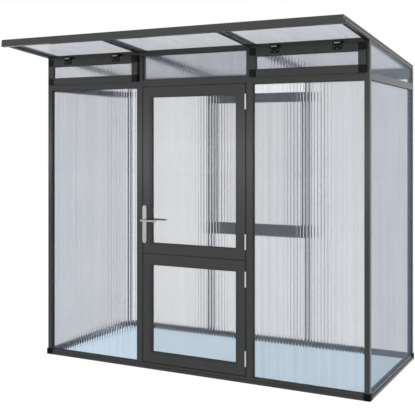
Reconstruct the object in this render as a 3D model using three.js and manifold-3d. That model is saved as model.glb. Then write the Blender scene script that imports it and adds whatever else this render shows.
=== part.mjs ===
// Lean-to greenhouse with a canopy, a two-leaf stable door and two top-hung vents.
// Millimetres, +Z up, X across the front, +Y towards the house wall behind it.
// The origin is on the ground at the centre of the whole outline.

import * as THREE from 'three';
import Module from 'manifold-3d';
import { mergeVertices } from 'three/addons/utils/BufferGeometryUtils.js';

const wasm = await Module();
wasm.setup();

// House
const houseWidth = 2500;
const houseDepth = 1138;
const canopyReach = 522;
const roofFallShare = 0.091;

// Heights, from the ground up
const sillHeight = 40;
const doorHeight = 2006;
const doorHeadTall = 44;
const transomHeight = 173;
const bayRailDrop = 10;
const bayRailTall = 59;
const sideRailTall = 46;

// Frame sections
const paneThickness = 10;
const paneSetback = 15;
const paneBacking = 10;
const grooveDepth = 7;
const tubeWall = 2.5;
const seat = 0.3;
const doorPostWidth = 47;
const sillLipDepth = 7;
const sillLipHeight = 20;

// Roof sections
const rafterDepth = 49;
const rafterCover = 12;
const fasciaDepth = 28;
const frontBeamWeb = 9;
const backBeamWeb = 53;

// Door
const doorWidth = 814;
const leafGap = 4;
const leafThickness = 30;
const doorStopWidth = 9;
const leafStile = 74;
const leafRail = 75;
const leafBottomRail = 78;
const leafSplitHeight = 816;

// Door hinges
const hingeRadius = 6.5;
const hingeLength = 104;
const hingePinRadius = 3.5;
const hingePlateThickness = 1.5;
const hingePlateDepth = 25;
const hingeStandOff = 7;
const hingeEndInset = 66;
const hingeSplitInset = 71;
const pinTipCover = 8;

// Door furniture
const handleHeight = 1054;
const handleInset = 17;
const plateWidth = 34;
const innerPlateWidth = 22;
const plateLength = 270;
const plateThickness = 8;
const plateDrop = 29;
const neckRadius = 8;
const leverStandOff = 52;
const leverLength = 128;
const leverHeight = 14;
const leverThickness = 10;
const spindleSize = 8;
const spindleHoleRadius = 7;
const cylinderRadius = 8.5;
const cylinderProud = 2;
const cylinderDrop = 114;
const latchRise = 32;
const latchHeight = 16;
const latchThickness = 10;
const latchLength = 33;
const latchNose = 3;
const latchTravel = 10;
const latchClearance = 0.3;

// Vents
const ventSideLap = 15;
const ventTopLap = 5;
const ventBottomLap = 14;
const ventThickness = 20;
const ventProfile = 47;
const ventTopProfile = 53;
const ventHingeWidth = 64;
const ventHingeInset = 182;
const ventKnuckleRadius = 6.5;
const ventKnuckleWidth = 16;
const ventPinRadius = 2.5;
const ventPivotRise = 8;
const ventPivotReach = 6;
const ventStrapLength = 46;
const ventStrapThickness = 4;
const ventPlateThickness = 3.5;
const ventPlateRise = 18;
const ventArmTall = 9;

// Window in the back wall
const windowSillHeight = 852;
const windowStile = 36;
const windowTopRail = 73;
const windowBottomRail = 91;
const windowSlot = 73;

// Running clearances, overruns of cuts, and steps round a circle
const turnClearance = 0.3;
const overrun = 5;
const roundSteps = 20;

// Worked out from the sizes above
const wallDepth = paneSetback + paneThickness + paneBacking;
const halfWidth = houseWidth / 2;
const halfDoor = doorWidth / 2;
const frontY = (canopyReach - houseDepth) / 2;
const backY = frontY + houseDepth;
const eaveY = frontY - canopyReach;
const grooveNear = paneSetback - seat;
const grooveFar = paneSetback + paneThickness + seat;
const paneEdge = grooveDepth - seat;
const roofAngle = Math.atan(roofFallShare);
const roofFrontY = eaveY + rafterDepth * Math.sin(roofAngle);
const roofLength = (backY - roofFrontY) / Math.cos(roofAngle);
const paneUnder = rafterCover + paneThickness;
const rafterBelowPane = (rafterDepth - paneUnder) / Math.cos(roofAngle);
const frontBeamBottom = doorHeight + doorHeadTall + transomHeight;
const frontBeamTop = frontBeamBottom + frontBeamWeb + rafterBelowPane + seat;
const roofRise = roofFallShare * (frontY - roofFrontY);
const eaveHeight = frontBeamTop + seat + roofRise + paneUnder / Math.cos(roofAngle);
const backBeamBottom = roofHeight(backY - wallDepth, rafterDepth) - seat - backBeamWeb;
const bayRailHeight = doorHeight - bayRailDrop;
const bayOuterX = halfWidth - wallDepth;
const bayInnerX = halfDoor + doorPostWidth;
const postFoot = sillHeight + seat;

// Finishes: colour, roughness and metalness of each kind of piece
const finishes = {
  frame: { color: 0x404242, roughness: 0.55, metalness: 0.25 },
  steel: { color: 0xb9b9b6, roughness: 0.35, metalness: 0.9 },
  plastic: { color: 0x101216, roughness: 0.5, metalness: 0 },
  twinWall: { color: 0xc8cbd5, roughness: 0.25, metalness: 0, transparent: true, opacity: 0.45 },
  clear: { color: 0xd4d8dc, roughness: 0.1, metalness: 0, transparent: true, opacity: 0.3 },
};

const greenhouse = new THREE.Group();

/** Height of the roof at a place front to back, measured square down from its top face. */
function roofHeight(y, down) {
  return eaveHeight - roofFallShare * (y - roofFrontY) - down / Math.cos(roofAngle);
}

/** Adds a named mesh with a material of its own. */
function addPiece(name, geometry, finish, parent = greenhouse, at = [0, 0, 0]) {
  const mesh = new THREE.Mesh(geometry, new THREE.MeshStandardMaterial(finishes[finish]));
  mesh.name = name;
  mesh.position.set(...at);
  parent.add(mesh);
  return mesh;
}

// Solids and cuts

function toSolid(geometry) {
  const bare = geometry.clone();
  bare.deleteAttribute('normal');
  bare.deleteAttribute('uv');
  const merged = mergeVertices(bare);
  return new wasm.Manifold(new wasm.Mesh({
    numProp: 3,
    vertProperties: merged.attributes.position.array,
    triVerts: Uint32Array.from(merged.index.array),
  }));
}

function toGeometry(solid) {
  const mesh = solid.getMesh();
  const geometry = new THREE.BufferGeometry();
  geometry.setAttribute('position', new THREE.BufferAttribute(mesh.vertProperties, 3));
  geometry.setIndex(new THREE.BufferAttribute(mesh.triVerts, 1));
  geometry.computeVertexNormals();
  return geometry;
}

function cut(geometry, tools) {
  return toGeometry(tools.reduce((solid, tool) => solid.subtract(toSolid(tool)), toSolid(geometry)));
}

function join(geometries) {
  return toGeometry(geometries.map(toSolid).reduce((whole, solid) => whole.add(solid)));
}

/** A box between two corners. */
function block(low, high) {
  const size = high.map((value, i) => value - low[i]);
  const centre = high.map((value, i) => (value + low[i]) / 2);
  return new THREE.BoxGeometry(...size).translate(...centre);
}

/** A round bar along one axis, from its start point. */
function rod(radius, length, axis, start) {
  const bar = new THREE.CylinderGeometry(radius, radius, length, roundSteps).translate(0, length / 2, 0);
  if (axis === 'z') bar.rotateX(Math.PI / 2);
  if (axis === 'x') bar.rotateZ(-Math.PI / 2);
  return bar.translate(...start);
}

/** A flat bar with round ends in the XZ plane, extruded along Y from its start face. */
function roundedBar(xLow, xHigh, zLow, zHigh, thickness, yStart) {
  const radius = Math.min(xHigh - xLow, zHigh - zLow) / 2;
  const shape = new THREE.Shape();
  if (xHigh - xLow > zHigh - zLow) {
    const middle = (zHigh + zLow) / 2;
    shape.absarc(xHigh - radius, middle, radius, -Math.PI / 2, Math.PI / 2);
    shape.absarc(xLow + radius, middle, radius, Math.PI / 2, 3 * Math.PI / 2);
  } else {
    const middle = (xHigh + xLow) / 2;
    shape.absarc(middle, zHigh - radius, radius, 0, Math.PI);
    shape.absarc(middle, zLow + radius, radius, Math.PI, 2 * Math.PI);
  }
  const options = { depth: thickness, bevelEnabled: false, curveSegments: roundSteps / 2 };
  const bar = new THREE.ExtrudeGeometry(shape, options);
  return bar.rotateX(Math.PI / 2).translate(0, yStart + thickness, 0);
}

// Frame sections: a runs across the face that shows, b from the outer face inwards

/** The outline of a rectangle between two corners of a section. */
function rectangle(aLow, bLow, aHigh, bHigh) {
  return [[aLow, bLow], [aHigh, bLow], [aHigh, bHigh], [aLow, bHigh]];
}

/** Section of a wall member, with pane grooves on the sides that are asked for and a hollow core. */
function wallSection({ width, depth = wallDepth, low, high, inner, stop, lip }) {
  const outline = lip ? [[0, -sillLipDepth], [sillLipHeight, -sillLipDepth], [sillLipHeight, 0]] : [[0, 0]];
  outline.push([width, 0]);
  if (high) {
    const floor = width - grooveDepth;
    outline.push([width, grooveNear], [floor, grooveNear], [floor, grooveFar], [width, grooveFar]);
  }
  if (stop) {
    const stopFace = leafThickness + seat;
    outline.push([width, stopFace], [width + doorStopWidth, stopFace], [width + doorStopWidth, depth]);
  } else {
    outline.push([width, depth]);
  }
  if (inner) {
    const floor = depth - grooveDepth;
    outline.push([grooveFar, depth], [grooveFar, floor], [grooveNear, floor], [grooveNear, depth]);
  }
  outline.push([0, depth]);
  if (low) {
    outline.push([0, grooveFar], [grooveDepth, grooveFar], [grooveDepth, grooveNear], [0, grooveNear]);
  }
  const coreLow = low ? grooveDepth + tubeWall : tubeWall;
  const coreHigh = width - (high ? grooveDepth + tubeWall : tubeWall);
  const coreDepth = (inner ? grooveNear : depth) - tubeWall;
  return { outline, core: rectangle(coreLow, tubeWall, coreHigh, coreDepth) };
}

/** Section of a rafter: a runs down from its top face, b across it, with grooves for the roof panes. */
function rafterSection({ width, low, high, gable }) {
  const near = rafterCover - seat;
  const far = paneUnder + seat;
  const outline = [[0, 0]];
  if (low) outline.push([near, 0], [near, grooveDepth], [far, grooveDepth], [far, 0]);
  outline.push([rafterDepth, 0]);
  if (gable) {
    const floor = rafterDepth - grooveDepth;
    const [first, last] = high ? [grooveNear, grooveFar] : [width - grooveFar, width - grooveNear];
    outline.push([rafterDepth, first], [floor, first], [floor, last], [rafterDepth, last]);
  }
  outline.push([rafterDepth, width]);
  if (high) {
    const floor = width - grooveDepth;
    outline.push([far, width], [far, floor], [near, floor], [near, width]);
  }
  outline.push([0, width]);
  const coreTop = far + tubeWall;
  const coreBottom = rafterDepth - tubeWall - (gable ? grooveDepth : 0);
  return { outline, core: rectangle(coreTop, tubeWall, coreBottom, width - tubeWall) };
}

/** Section of the canopy's front: a runs down from its top face, b inwards from its front face. */
function fasciaSection() {
  const near = rafterCover - seat;
  const far = paneUnder + seat;
  const floor = fasciaDepth - grooveDepth;
  return {
    outline: [
      [0, 0], [rafterDepth, 0], [rafterDepth, fasciaDepth],
      [far, fasciaDepth], [far, floor], [near, floor], [near, fasciaDepth], [0, fasciaDepth],
    ],
    core: rectangle(far + tubeWall, tubeWall, rafterDepth - tubeWall, fasciaDepth - tubeWall),
  };
}

const unitX = new THREE.Vector3(1, 0, 0);
const unitY = new THREE.Vector3(0, 1, 0);
const unitZ = new THREE.Vector3(0, 0, 1);
const runs = {
  x: new THREE.Matrix4().makeBasis(unitY, unitZ, unitX),
  y: new THREE.Matrix4().makeBasis(unitZ, unitX, unitY),
  z: new THREE.Matrix4(),
};

/**
 * Extrudes a section along one axis. On an upright a lies along X and b along Y, on a member along X
 * a lies along Z and b along Y, and on one along Y a lies along Z and b along X, each with its sign.
 */
function extrudeSection({ outline, core }, along, length, aSign, bSign) {
  const place = ([a, b]) => {
    const pair = [a * aSign, b * bSign];
    return new THREE.Vector2(...(along === 'x' ? pair.reverse() : pair));
  };
  const loop = (points) => {
    const placed = points.map(place);
    return THREE.ShapeUtils.isClockWise(placed) ? placed.reverse() : placed;
  };
  const shape = new THREE.Shape(loop(outline));
  if (core) shape.holes = [new THREE.Path(loop(core))];
  const geometry = new THREE.ExtrudeGeometry(shape, { depth: length, bevelEnabled: false });
  return geometry.applyMatrix4(runs[along]);
}

/** Slopes the top of a piece to the roof: what lies above the given height falls with Y. */
function slopeTop(geometry, above) {
  const points = geometry.attributes.position;
  for (let i = 0; i < points.count; i += 1) {
    if (points.getZ(i) > above) points.setZ(i, points.getZ(i) - roofFallShare * points.getY(i));
  }
  return geometry;
}

// Walls

function addSills() {
  const section = wallSection({ width: sillHeight, high: true, lip: true });
  const plain = wallSection({ width: sillHeight, high: true });
  const sideLength = houseDepth - 2 * (wallDepth + seat);
  const sideStart = frontY + wallDepth + seat;
  const front = extrudeSection(section, 'x', houseWidth, 1, 1);
  const back = extrudeSection(plain, 'x', houseWidth, 1, -1);
  addPiece('sill_front', front, 'frame', greenhouse, [-halfWidth, frontY, 0]);
  addPiece('sill_back', back, 'frame', greenhouse, [-halfWidth, backY, 0]);
  for (const [side, sign] of [['left', -1], ['right', 1]]) {
    const sill = extrudeSection(section, 'y', sideLength, 1, -sign);
    addPiece(`sill_${side}`, sill, 'frame', greenhouse, [sign * halfWidth, sideStart, 0]);
  }
}

function addCornerPosts() {
  const section = wallSection({ width: wallDepth, high: true, inner: true });
  for (const [side, sign] of [['left', -1], ['right', 1]]) {
    for (const [wall, y, inwards] of [['front', frontY, 1], ['back', backY, -1]]) {
      const height = roofHeight(y, rafterDepth) - seat - postFoot;
      const post = slopeTop(extrudeSection(section, 'z', height, -sign, inwards), height / 2);
      addPiece(`corner_post_${wall}_${side}`, post, 'frame', greenhouse, [sign * halfWidth, y, postFoot]);
    }
  }
}

function addMiddlePosts() {
  const doorSection = wallSection({ width: doorPostWidth, low: true, high: true, stop: true });
  const backSection = wallSection({ width: doorPostWidth, low: true, high: true });
  const doorPostHeight = frontBeamBottom - seat - postFoot;
  const backPostHeight = backBeamBottom - seat - postFoot;
  for (const [side, sign] of [['left', -1], ['right', 1]]) {
    const doorPost = extrudeSection(doorSection, 'z', doorPostHeight, -sign, 1);
    const backPost = extrudeSection(backSection, 'z', backPostHeight, -sign, -1);
    addPiece(`door_post_${side}`, doorPost, 'frame', greenhouse, [sign * bayInnerX, frontY, postFoot]);
    addPiece(`back_post_${side}`, backPost, 'frame', greenhouse, [sign * bayInnerX, backY, postFoot]);
  }
}

function addRails() {
  const bayRail = wallSection({ width: bayRailTall, low: true });
  const bayLength = bayOuterX - bayInnerX - 2 * seat;
  for (const [side, start] of [['left', -bayOuterX + seat], ['right', bayInnerX + seat]]) {
    const rail = extrudeSection(bayRail, 'x', bayLength, 1, 1);
    addPiece(`bay_rail_${side}`, rail, 'frame', greenhouse, [start, frontY, bayRailHeight]);
  }
  const head = wallSection({ width: doorHeadTall, depth: leafThickness, high: true });
  const headPiece = extrudeSection(head, 'x', doorWidth - 2 * seat, 1, 1);
  addPiece('door_head', headPiece, 'frame', greenhouse, [-halfDoor + seat, frontY, doorHeight]);
  const sideRail = wallSection({ width: sideRailTall, low: true, high: true });
  const sideLength = houseDepth - 2 * (wallDepth + seat);
  for (const [side, sign] of [['left', -1], ['right', 1]]) {
    const rail = extrudeSection(sideRail, 'y', sideLength, 1, -sign);
    const at = [sign * halfWidth, frontY + wallDepth + seat, bayRailHeight];
    addPiece(`side_rail_${side}`, rail, 'frame', greenhouse, at);
  }
}

/** An eaves beam between the corner posts, notched for the two middle rafters. */
function beamGeometry(bottom, nearY) {
  const top = roofHeight(nearY, paneUnder) - seat - bottom;
  const notch = roofHeight(nearY, rafterDepth) - seat - bottom;
  const end = bayOuterX - seat;
  const outer = bayInnerX + seat;
  const inner = halfDoor - seat;
  const outline = [
    [0, -end], [top, -end], [top, -outer], [notch, -outer], [notch, -inner], [top, -inner],
    [top, inner], [notch, inner], [notch, outer], [top, outer], [top, end], [0, end],
  ];
  return slopeTop(extrudeSection({ outline }, 'y', wallDepth, 1, 1), notch / 2);
}

function addBeams() {
  const transomGroove = block(
    [-halfDoor - grooveDepth, grooveNear, -overrun],
    [halfDoor + grooveDepth, grooveFar, grooveDepth],
  );
  const front = cut(beamGeometry(frontBeamBottom, frontY), [transomGroove]);
  addPiece('front_eaves_beam', front, 'frame', greenhouse, [0, frontY, frontBeamBottom]);
  const low = wallDepth - grooveFar;
  const high = wallDepth - grooveNear;
  const bayGrooves = [
    block([-halfWidth, low, -overrun], [-bayInnerX + grooveDepth, high, grooveDepth]),
    block([bayInnerX - grooveDepth, low, -overrun], [halfWidth, high, grooveDepth]),
  ];
  const back = cut(beamGeometry(backBeamBottom, backY - wallDepth), bayGrooves);
  addPiece('back_eaves_beam', back, 'frame', greenhouse, [0, backY - wallDepth, backBeamBottom]);
}

/** Adds a pane of the front or back wall; its edges reach into the grooves round it. */
function addWallPane(name, finish, wall, xLow, xHigh, zLow, zHigh) {
  const y = wall === 'front' ? frontY + paneSetback : backY - paneSetback - paneThickness;
  const pane = block([0, 0, 0], [xHigh - xLow + 2 * paneEdge, paneThickness, zHigh - zLow + 2 * paneEdge]);
  addPiece(name, pane, finish, greenhouse, [xLow - paneEdge, y, zLow - paneEdge]);
}

function addWallPanes() {
  addWallPane('front_pane_left', 'twinWall', 'front', -bayOuterX, -bayInnerX, sillHeight, bayRailHeight);
  addWallPane('front_pane_right', 'twinWall', 'front', bayInnerX, bayOuterX, sillHeight, bayRailHeight);
  const transomBottom = doorHeight + doorHeadTall;
  addWallPane('transom_pane', 'twinWall', 'front', -halfDoor, halfDoor, transomBottom, frontBeamBottom);
  addWallPane('back_pane_left', 'twinWall', 'back', -bayOuterX, -bayInnerX, sillHeight, backBeamBottom);
  addWallPane('back_pane_right', 'twinWall', 'back', bayInnerX, bayOuterX, sillHeight, backBeamBottom);
  addWallPane('back_pane_lower', 'twinWall', 'back', -halfDoor, halfDoor, sillHeight, windowSillHeight);
}

/** Adds each side wall's lower pane, notched round the sills' ends, and the tapered one above it. */
function addSidePanes() {
  const yLow = frontY + wallDepth - paneEdge;
  const yHigh = backY - wallDepth + paneEdge;
  const run = yHigh - yLow;
  const lowerTall = bayRailHeight - sillHeight + 2 * paneEdge;
  const notch = paneEdge + seat;
  const far = run - notch;
  const lowerOutline = [
    [0, notch], [0, far], [notch, far], [notch, run],
    [lowerTall, run], [lowerTall, 0], [notch, 0], [notch, notch],
  ];
  const gableBottom = bayRailHeight + sideRailTall - paneEdge;
  const gableTall = roofHeight(yLow, rafterDepth) + paneEdge - gableBottom;
  const gable = { outline: rectangle(0, 0, gableTall, paneThickness) };
  for (const [side, sign] of [['left', -1], ['right', 1]]) {
    const x = sign > 0 ? halfWidth - paneSetback - paneThickness : -halfWidth + paneSetback;
    const lower = extrudeSection({ outline: lowerOutline }, 'x', paneThickness, 1, 1);
    addPiece(`side_pane_${side}`, lower, 'twinWall', greenhouse, [x, yLow, sillHeight - paneEdge]);
    const upper = slopeTop(extrudeSection(gable, 'y', run, 1, 1), gableTall / 2);
    addPiece(`gable_pane_${side}`, upper, 'twinWall', greenhouse, [x, yLow, gableBottom]);
  }
}

// Roof, in a group that lies in its slope: Y runs down the slope from the front edge

const roof = new THREE.Group();
roof.position.set(0, roofFrontY, eaveHeight);
roof.rotation.x = -roofAngle;
greenhouse.add(roof);

function addRoof() {
  const fascia = extrudeSection(fasciaSection(), 'x', houseWidth, -1, 1);
  addPiece('canopy_fascia', fascia, 'frame', roof, [-halfWidth, 0, 0]);
  const rafterStart = fasciaDepth + seat;
  const rafterLength = roofLength - rafterStart;
  const rafters = [
    ['outer_left', -halfWidth, { width: wallDepth, high: true, gable: true }],
    ['middle_left', -bayInnerX, { width: doorPostWidth, low: true, high: true }],
    ['middle_right', halfDoor, { width: doorPostWidth, low: true, high: true }],
    ['outer_right', halfWidth - wallDepth, { width: wallDepth, low: true, gable: true }],
  ];
  for (const [place, x, options] of rafters) {
    const rafter = extrudeSection(rafterSection(options), 'y', rafterLength, -1, 1);
    addPiece(`rafter_${place}`, rafter, 'frame', roof, [x, rafterStart, 0]);
  }
  const paneStart = fasciaDepth - paneEdge;
  const bays = [
    ['left', -bayOuterX, -bayInnerX],
    ['middle', -halfDoor, halfDoor],
    ['right', bayInnerX, bayOuterX],
  ];
  for (const [place, low, high] of bays) {
    const pane = block([0, 0, 0], [high - low + 2 * paneEdge, roofLength - paneStart, paneThickness]);
    addPiece(`roof_pane_${place}`, pane, 'twinWall', roof, [low - paneEdge, paneStart, -paneUnder]);
  }
}

// Framed panes: door leaves, vents and the window

/** A frame with a pane groove inside, from its lower left front corner, and its pane. */
function framedPane({ width, height, thickness, stile, topRail, bottomRail }) {
  const near = (thickness - paneThickness) / 2;
  const far = near + paneThickness;
  const right = width - stile;
  const top = height - topRail;
  const daylight = block([stile, -overrun, bottomRail], [right, thickness + overrun, top]);
  const groove = block(
    [stile - grooveDepth, near - seat, bottomRail - grooveDepth],
    [right + grooveDepth, far + seat, top + grooveDepth],
  );
  return {
    frame: cut(block([0, 0, 0], [width, thickness, height]), [daylight, groove]),
    pane: block([stile - paneEdge, near, bottomRail - paneEdge], [right + paneEdge, far, top + paneEdge]),
  };
}

function addWindow() {
  const top = backBeamBottom - windowSlot;
  const size = { width: doorWidth - 2 * seat, height: top - windowSillHeight, thickness: wallDepth };
  const bars = { stile: windowStile, topRail: windowTopRail, bottomRail: windowBottomRail };
  const { frame, pane } = framedPane({ ...size, ...bars });
  const lowerGroove = block(
    [-overrun, wallDepth - grooveFar, -overrun],
    [doorWidth, wallDepth - grooveNear, grooveDepth],
  );
  const at = [-halfDoor + seat, backY - wallDepth, windowSillHeight];
  addPiece('back_window_frame', cut(frame, [lowerGroove]), 'frame', greenhouse, at);
  addPiece('back_window_pane', pane, 'clear', greenhouse, at);
}

// Door: each leaf is a group on its hinge line, which lies in front of the gap on the right

const hingeX = halfDoor - leafGap / 2;
const hingeY = frontY - hingeStandOff;
const leafWidth = doorWidth - 2 * leafGap;
const leafLeft = -halfDoor + leafGap - hingeX;
const leafRight = leafLeft + leafWidth;
const barrelHalf = hingeLength / 2 - seat;

/** The half of a lift-off hinge on the leaf: an upper knuckle with a bore, and its plate in the gap. */
function leafHingeHalf(z) {
  const start = z + hingeLength / 2 + seat;
  const knuckle = rod(hingeRadius, barrelHalf, 'z', [0, 0, start]);
  const bore = rod(hingePinRadius + turnClearance, barrelHalf - pinTipCover / 2, 'z', [0, 0, start - seat]);
  const plate = block(
    [leafRight - tubeWall, 0, start],
    [leafRight + hingePlateThickness, hingePlateDepth, start + barrelHalf],
  );
  return cut(join([knuckle, plate]), [bore]);
}

/** The half of a lift-off hinge on the door post: a lower knuckle, its pin and its plate. */
function postHingeHalf() {
  const knuckle = rod(hingeRadius, barrelHalf, 'z', [0, 0, 0]);
  const pin = rod(hingePinRadius, 2 * barrelHalf - pinTipCover, 'z', [0, 0, 0]);
  const outer = halfDoor - hingeX - seat;
  const plate = block([outer - hingePlateThickness, 0, 0], [outer, hingePlateDepth, barrelHalf]);
  return join([knuckle, plate, pin]);
}

function leafGeometry(bottom, top, lowRail, highRail, hingeHeights, cuts = []) {
  const size = { width: leafWidth, height: top - bottom, thickness: leafThickness };
  const bars = { stile: leafStile, topRail: highRail, bottomRail: lowRail };
  const { frame, pane } = framedPane({ ...size, ...bars });
  const corner = [leafLeft, hingeStandOff, bottom];
  const halves = hingeHeights.map((z) => leafHingeHalf(z));
  const whole = join([frame.translate(...corner), ...halves]);
  return { frame: cuts.length ? cut(whole, cuts) : whole, pane: pane.translate(...corner) };
}

const spindleX = leafLeft + handleInset;
const leafFace = hingeStandOff;
const leafBack = hingeStandOff + leafThickness;
const latchLow = handleHeight + latchRise - latchHeight / 2;
const latchNear = hingeStandOff + (leafThickness - latchThickness) / 2;

const upperLeaf = new THREE.Group();
const lowerLeaf = new THREE.Group();
for (const leaf of [upperLeaf, lowerLeaf]) {
  leaf.position.set(hingeX, hingeY, 0);
  greenhouse.add(leaf);
}

function addDoor() {
  const lowerBottom = sillHeight + leafGap;
  const lowerTop = leafSplitHeight - leafGap / 2;
  const upperBottom = leafSplitHeight + leafGap / 2;
  const upperTop = doorHeight - leafGap;
  const lowerHinges = [lowerBottom + hingeEndInset, lowerTop - hingeSplitInset - hingeLength];
  const upperHinges = [upperBottom + hingeSplitInset, upperTop - hingeSplitInset - hingeLength];
  const latchPocket = block(
    [leafLeft - overrun, latchNear - latchClearance, latchLow - latchClearance],
    [
      leafLeft + latchLength + latchTravel + latchClearance,
      latchNear + latchThickness + latchClearance,
      latchLow + latchHeight + latchClearance,
    ],
  );
  const holeLength = leafThickness + 2 * overrun;
  const spindleHole = rod(spindleHoleRadius, holeLength, 'y', [spindleX, leafFace - overrun, handleHeight]);
  const lockCuts = [latchPocket, spindleHole];
  const upper = leafGeometry(upperBottom, upperTop, leafRail, leafRail, upperHinges, lockCuts);
  const lower = leafGeometry(lowerBottom, lowerTop, leafBottomRail, leafRail, lowerHinges);
  addPiece('upper_leaf_frame', upper.frame, 'frame', upperLeaf);
  addPiece('upper_leaf_pane', upper.pane, 'clear', upperLeaf);
  addPiece('lower_leaf_frame', lower.frame, 'frame', lowerLeaf);
  addPiece('lower_leaf_pane', lower.pane, 'clear', lowerLeaf);
  [...lowerHinges, ...upperHinges].forEach((z, i) => {
    addPiece(`door_hinge_${i + 1}`, postHingeHalf(), 'steel', greenhouse, [hingeX, hingeY, z]);
  });
}

/** Adds the two long plates, the two levers on their spindle and the latch bolt. */
function addDoorFurniture() {
  const plateLow = handleHeight - plateDrop - plateLength / 2;
  const holeLength = plateThickness + 2 * overrun;
  const sides = [
    ['outer', plateWidth, leafFace - seat - plateThickness, -1],
    ['inner', innerPlateWidth, leafBack + seat, 1],
  ];
  for (const [side, width, start, outwards] of sides) {
    const xLow = spindleX - width / 2;
    const bar = roundedBar(xLow, xLow + width, plateLow, plateLow + plateLength, plateThickness, start);
    const bossLength = plateThickness + cylinderProud;
    const bossStart = outwards < 0 ? start - cylinderProud : start;
    const boss = rod(cylinderRadius, bossLength, 'y', [spindleX, bossStart, handleHeight - cylinderDrop]);
    const hole = rod(neckRadius + turnClearance, holeLength, 'y', [spindleX, start - overrun, handleHeight]);
    addPiece(`handle_plate_${side}`, cut(join([bar, boss]), [hole]), 'steel', upperLeaf);
  }
  const lever = new THREE.Group();
  lever.position.set(spindleX, 0, handleHeight);
  upperLeaf.add(lever);
  const neckLength = leverStandOff - seat;
  const outerBar = leafFace - leverStandOff - leverThickness / 2;
  const innerBar = leafBack + leverStandOff - leverThickness / 2;
  const half = leverHeight / 2;
  const spindleHalf = spindleSize / 2;
  const spindleEnd = leafBack + neckLength - overrun;
  const outer = join([
    rod(neckRadius, neckLength, 'y', [0, leafFace - leverStandOff, 0]),
    roundedBar(-neckRadius, leverLength, -half, half, leverThickness, outerBar),
    block([-spindleHalf, leafFace - leverStandOff, -spindleHalf], [spindleHalf, spindleEnd, spindleHalf]),
  ]);
  addPiece('lever_outer', outer, 'steel', lever);
  const socket = spindleHalf + turnClearance;
  const inner = cut(
    join([
      rod(neckRadius, neckLength, 'y', [0, leafBack + seat, 0]),
      roundedBar(-neckRadius, leverLength, -half, half, leverThickness, innerBar),
    ]),
    [block([-socket, leafBack - overrun, -socket], [socket, spindleEnd + seat, socket])],
  );
  addPiece('lever_inner', inner, 'steel', lever);
  addPiece('latch_bolt', latchGeometry(), 'steel', upperLeaf, [leafLeft - latchNose, latchNear, latchLow]);
}

/** The latch bolt: its nose is bevelled on the side that meets the post as the leaf closes. */
function latchGeometry() {
  const outline = [
    [0, 0], [latchLength, 0], [latchLength, latchThickness],
    [2 * latchNose, latchThickness], [0, latchThickness / 2],
  ];
  const shape = new THREE.Shape(outline.map(([x, y]) => new THREE.Vector2(x, y)));
  return new THREE.ExtrudeGeometry(shape, { depth: latchHeight, bevelEnabled: false });
}

// Vents: each is a group on its hinge line, under the canopy and in front of the eaves beam

const ventPivotZ = frontBeamBottom + ventTopLap + ventPivotRise;
const ventPivotY = frontY - seat - ventThickness - ventPivotReach;

/** The half of a vent hinge on the eaves beam: a plate, two arms with knuckles, and the pin. */
function beamHingeHalf() {
  const half = ventHingeWidth / 2;
  const wallFace = frontY - seat - ventPivotY;
  const armLow = -ventArmTall / 2;
  const plate = block(
    [-half, wallFace - ventPlateThickness, armLow],
    [half, wallFace, armLow + ventPlateRise],
  );
  const pinLength = ventHingeWidth - ventKnuckleWidth;
  const pin = rod(ventPinRadius, pinLength, 'x', [-pinLength / 2, 0, 0]);
  const arms = [-half, half - ventKnuckleWidth].flatMap((x) => [
    rod(ventKnuckleRadius, ventKnuckleWidth, 'x', [x, 0, 0]),
    block([x, 0, armLow], [x + ventKnuckleWidth, wallFace, armLow + ventArmTall]),
  ]);
  return join([plate, ...arms, pin]);
}

/** The half of a vent hinge on the vent: a middle knuckle and a strap down the vent's top profile. */
function ventHingeHalf(x) {
  const strapHalf = ventHingeWidth / 2;
  const half = strapHalf - ventKnuckleWidth - turnClearance;
  const knuckle = rod(ventKnuckleRadius, 2 * half, 'x', [x - half, 0, 0]);
  const bore = rod(ventPinRadius + turnClearance, 2 * half + 2 * overrun, 'x', [x - half - overrun, 0, 0]);
  const near = ventPivotReach - ventStrapThickness;
  const neck = block([x - half, near, -ventStrapLength], [x + half, ventPivotReach, 0]);
  const strap = block(
    [x - strapHalf, near, -ventStrapLength],
    [x + strapHalf, ventPivotReach + seat, -ventPivotRise],
  );
  return cut(join([knuckle, neck, strap]), [bore]);
}

function addVents() {
  const width = bayOuterX - bayInnerX + 2 * ventSideLap;
  const bottom = bayRailHeight + bayRailTall - ventBottomLap;
  const height = frontBeamBottom + ventTopLap - bottom;
  const bars = { stile: ventProfile, topRail: ventTopProfile, bottomRail: ventProfile };
  for (const [side, left] of [['left', -bayOuterX - ventSideLap], ['right', bayInnerX - ventSideLap]]) {
    const vent = new THREE.Group();
    vent.position.set(left, ventPivotY, ventPivotZ);
    greenhouse.add(vent);
    const { frame, pane } = framedPane({ width, height, thickness: ventThickness, ...bars });
    const corner = [0, ventPivotReach, -ventPivotRise - height];
    const hinges = [ventHingeInset, width - ventHingeInset];
    const whole = join([frame.translate(...corner), ...hinges.map((x) => ventHingeHalf(x))]);
    addPiece(`vent_frame_${side}`, whole, 'frame', vent);
    addPiece(`vent_pane_${side}`, pane.translate(...corner), 'twinWall', vent);
    hinges.forEach((x, i) => {
      const at = [left + x, ventPivotY, ventPivotZ];
      addPiece(`vent_hinge_${side}_${i + 1}`, beamHingeHalf(), 'plastic', greenhouse, at);
    });
  }
}

addSills();
addCornerPosts();
addMiddlePosts();
addRails();
addBeams();
addWallPanes();
addSidePanes();
addRoof();
addWindow();
addDoor();
addDoorFurniture();
addVents();

export default greenhouse;
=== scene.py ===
"""Looks of a lean-to greenhouse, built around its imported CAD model. Metres, +Z up."""

import logging
import math
from dataclasses import dataclass, field
from enum import Enum

import bpy
from mathutils import Matrix, Vector


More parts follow.
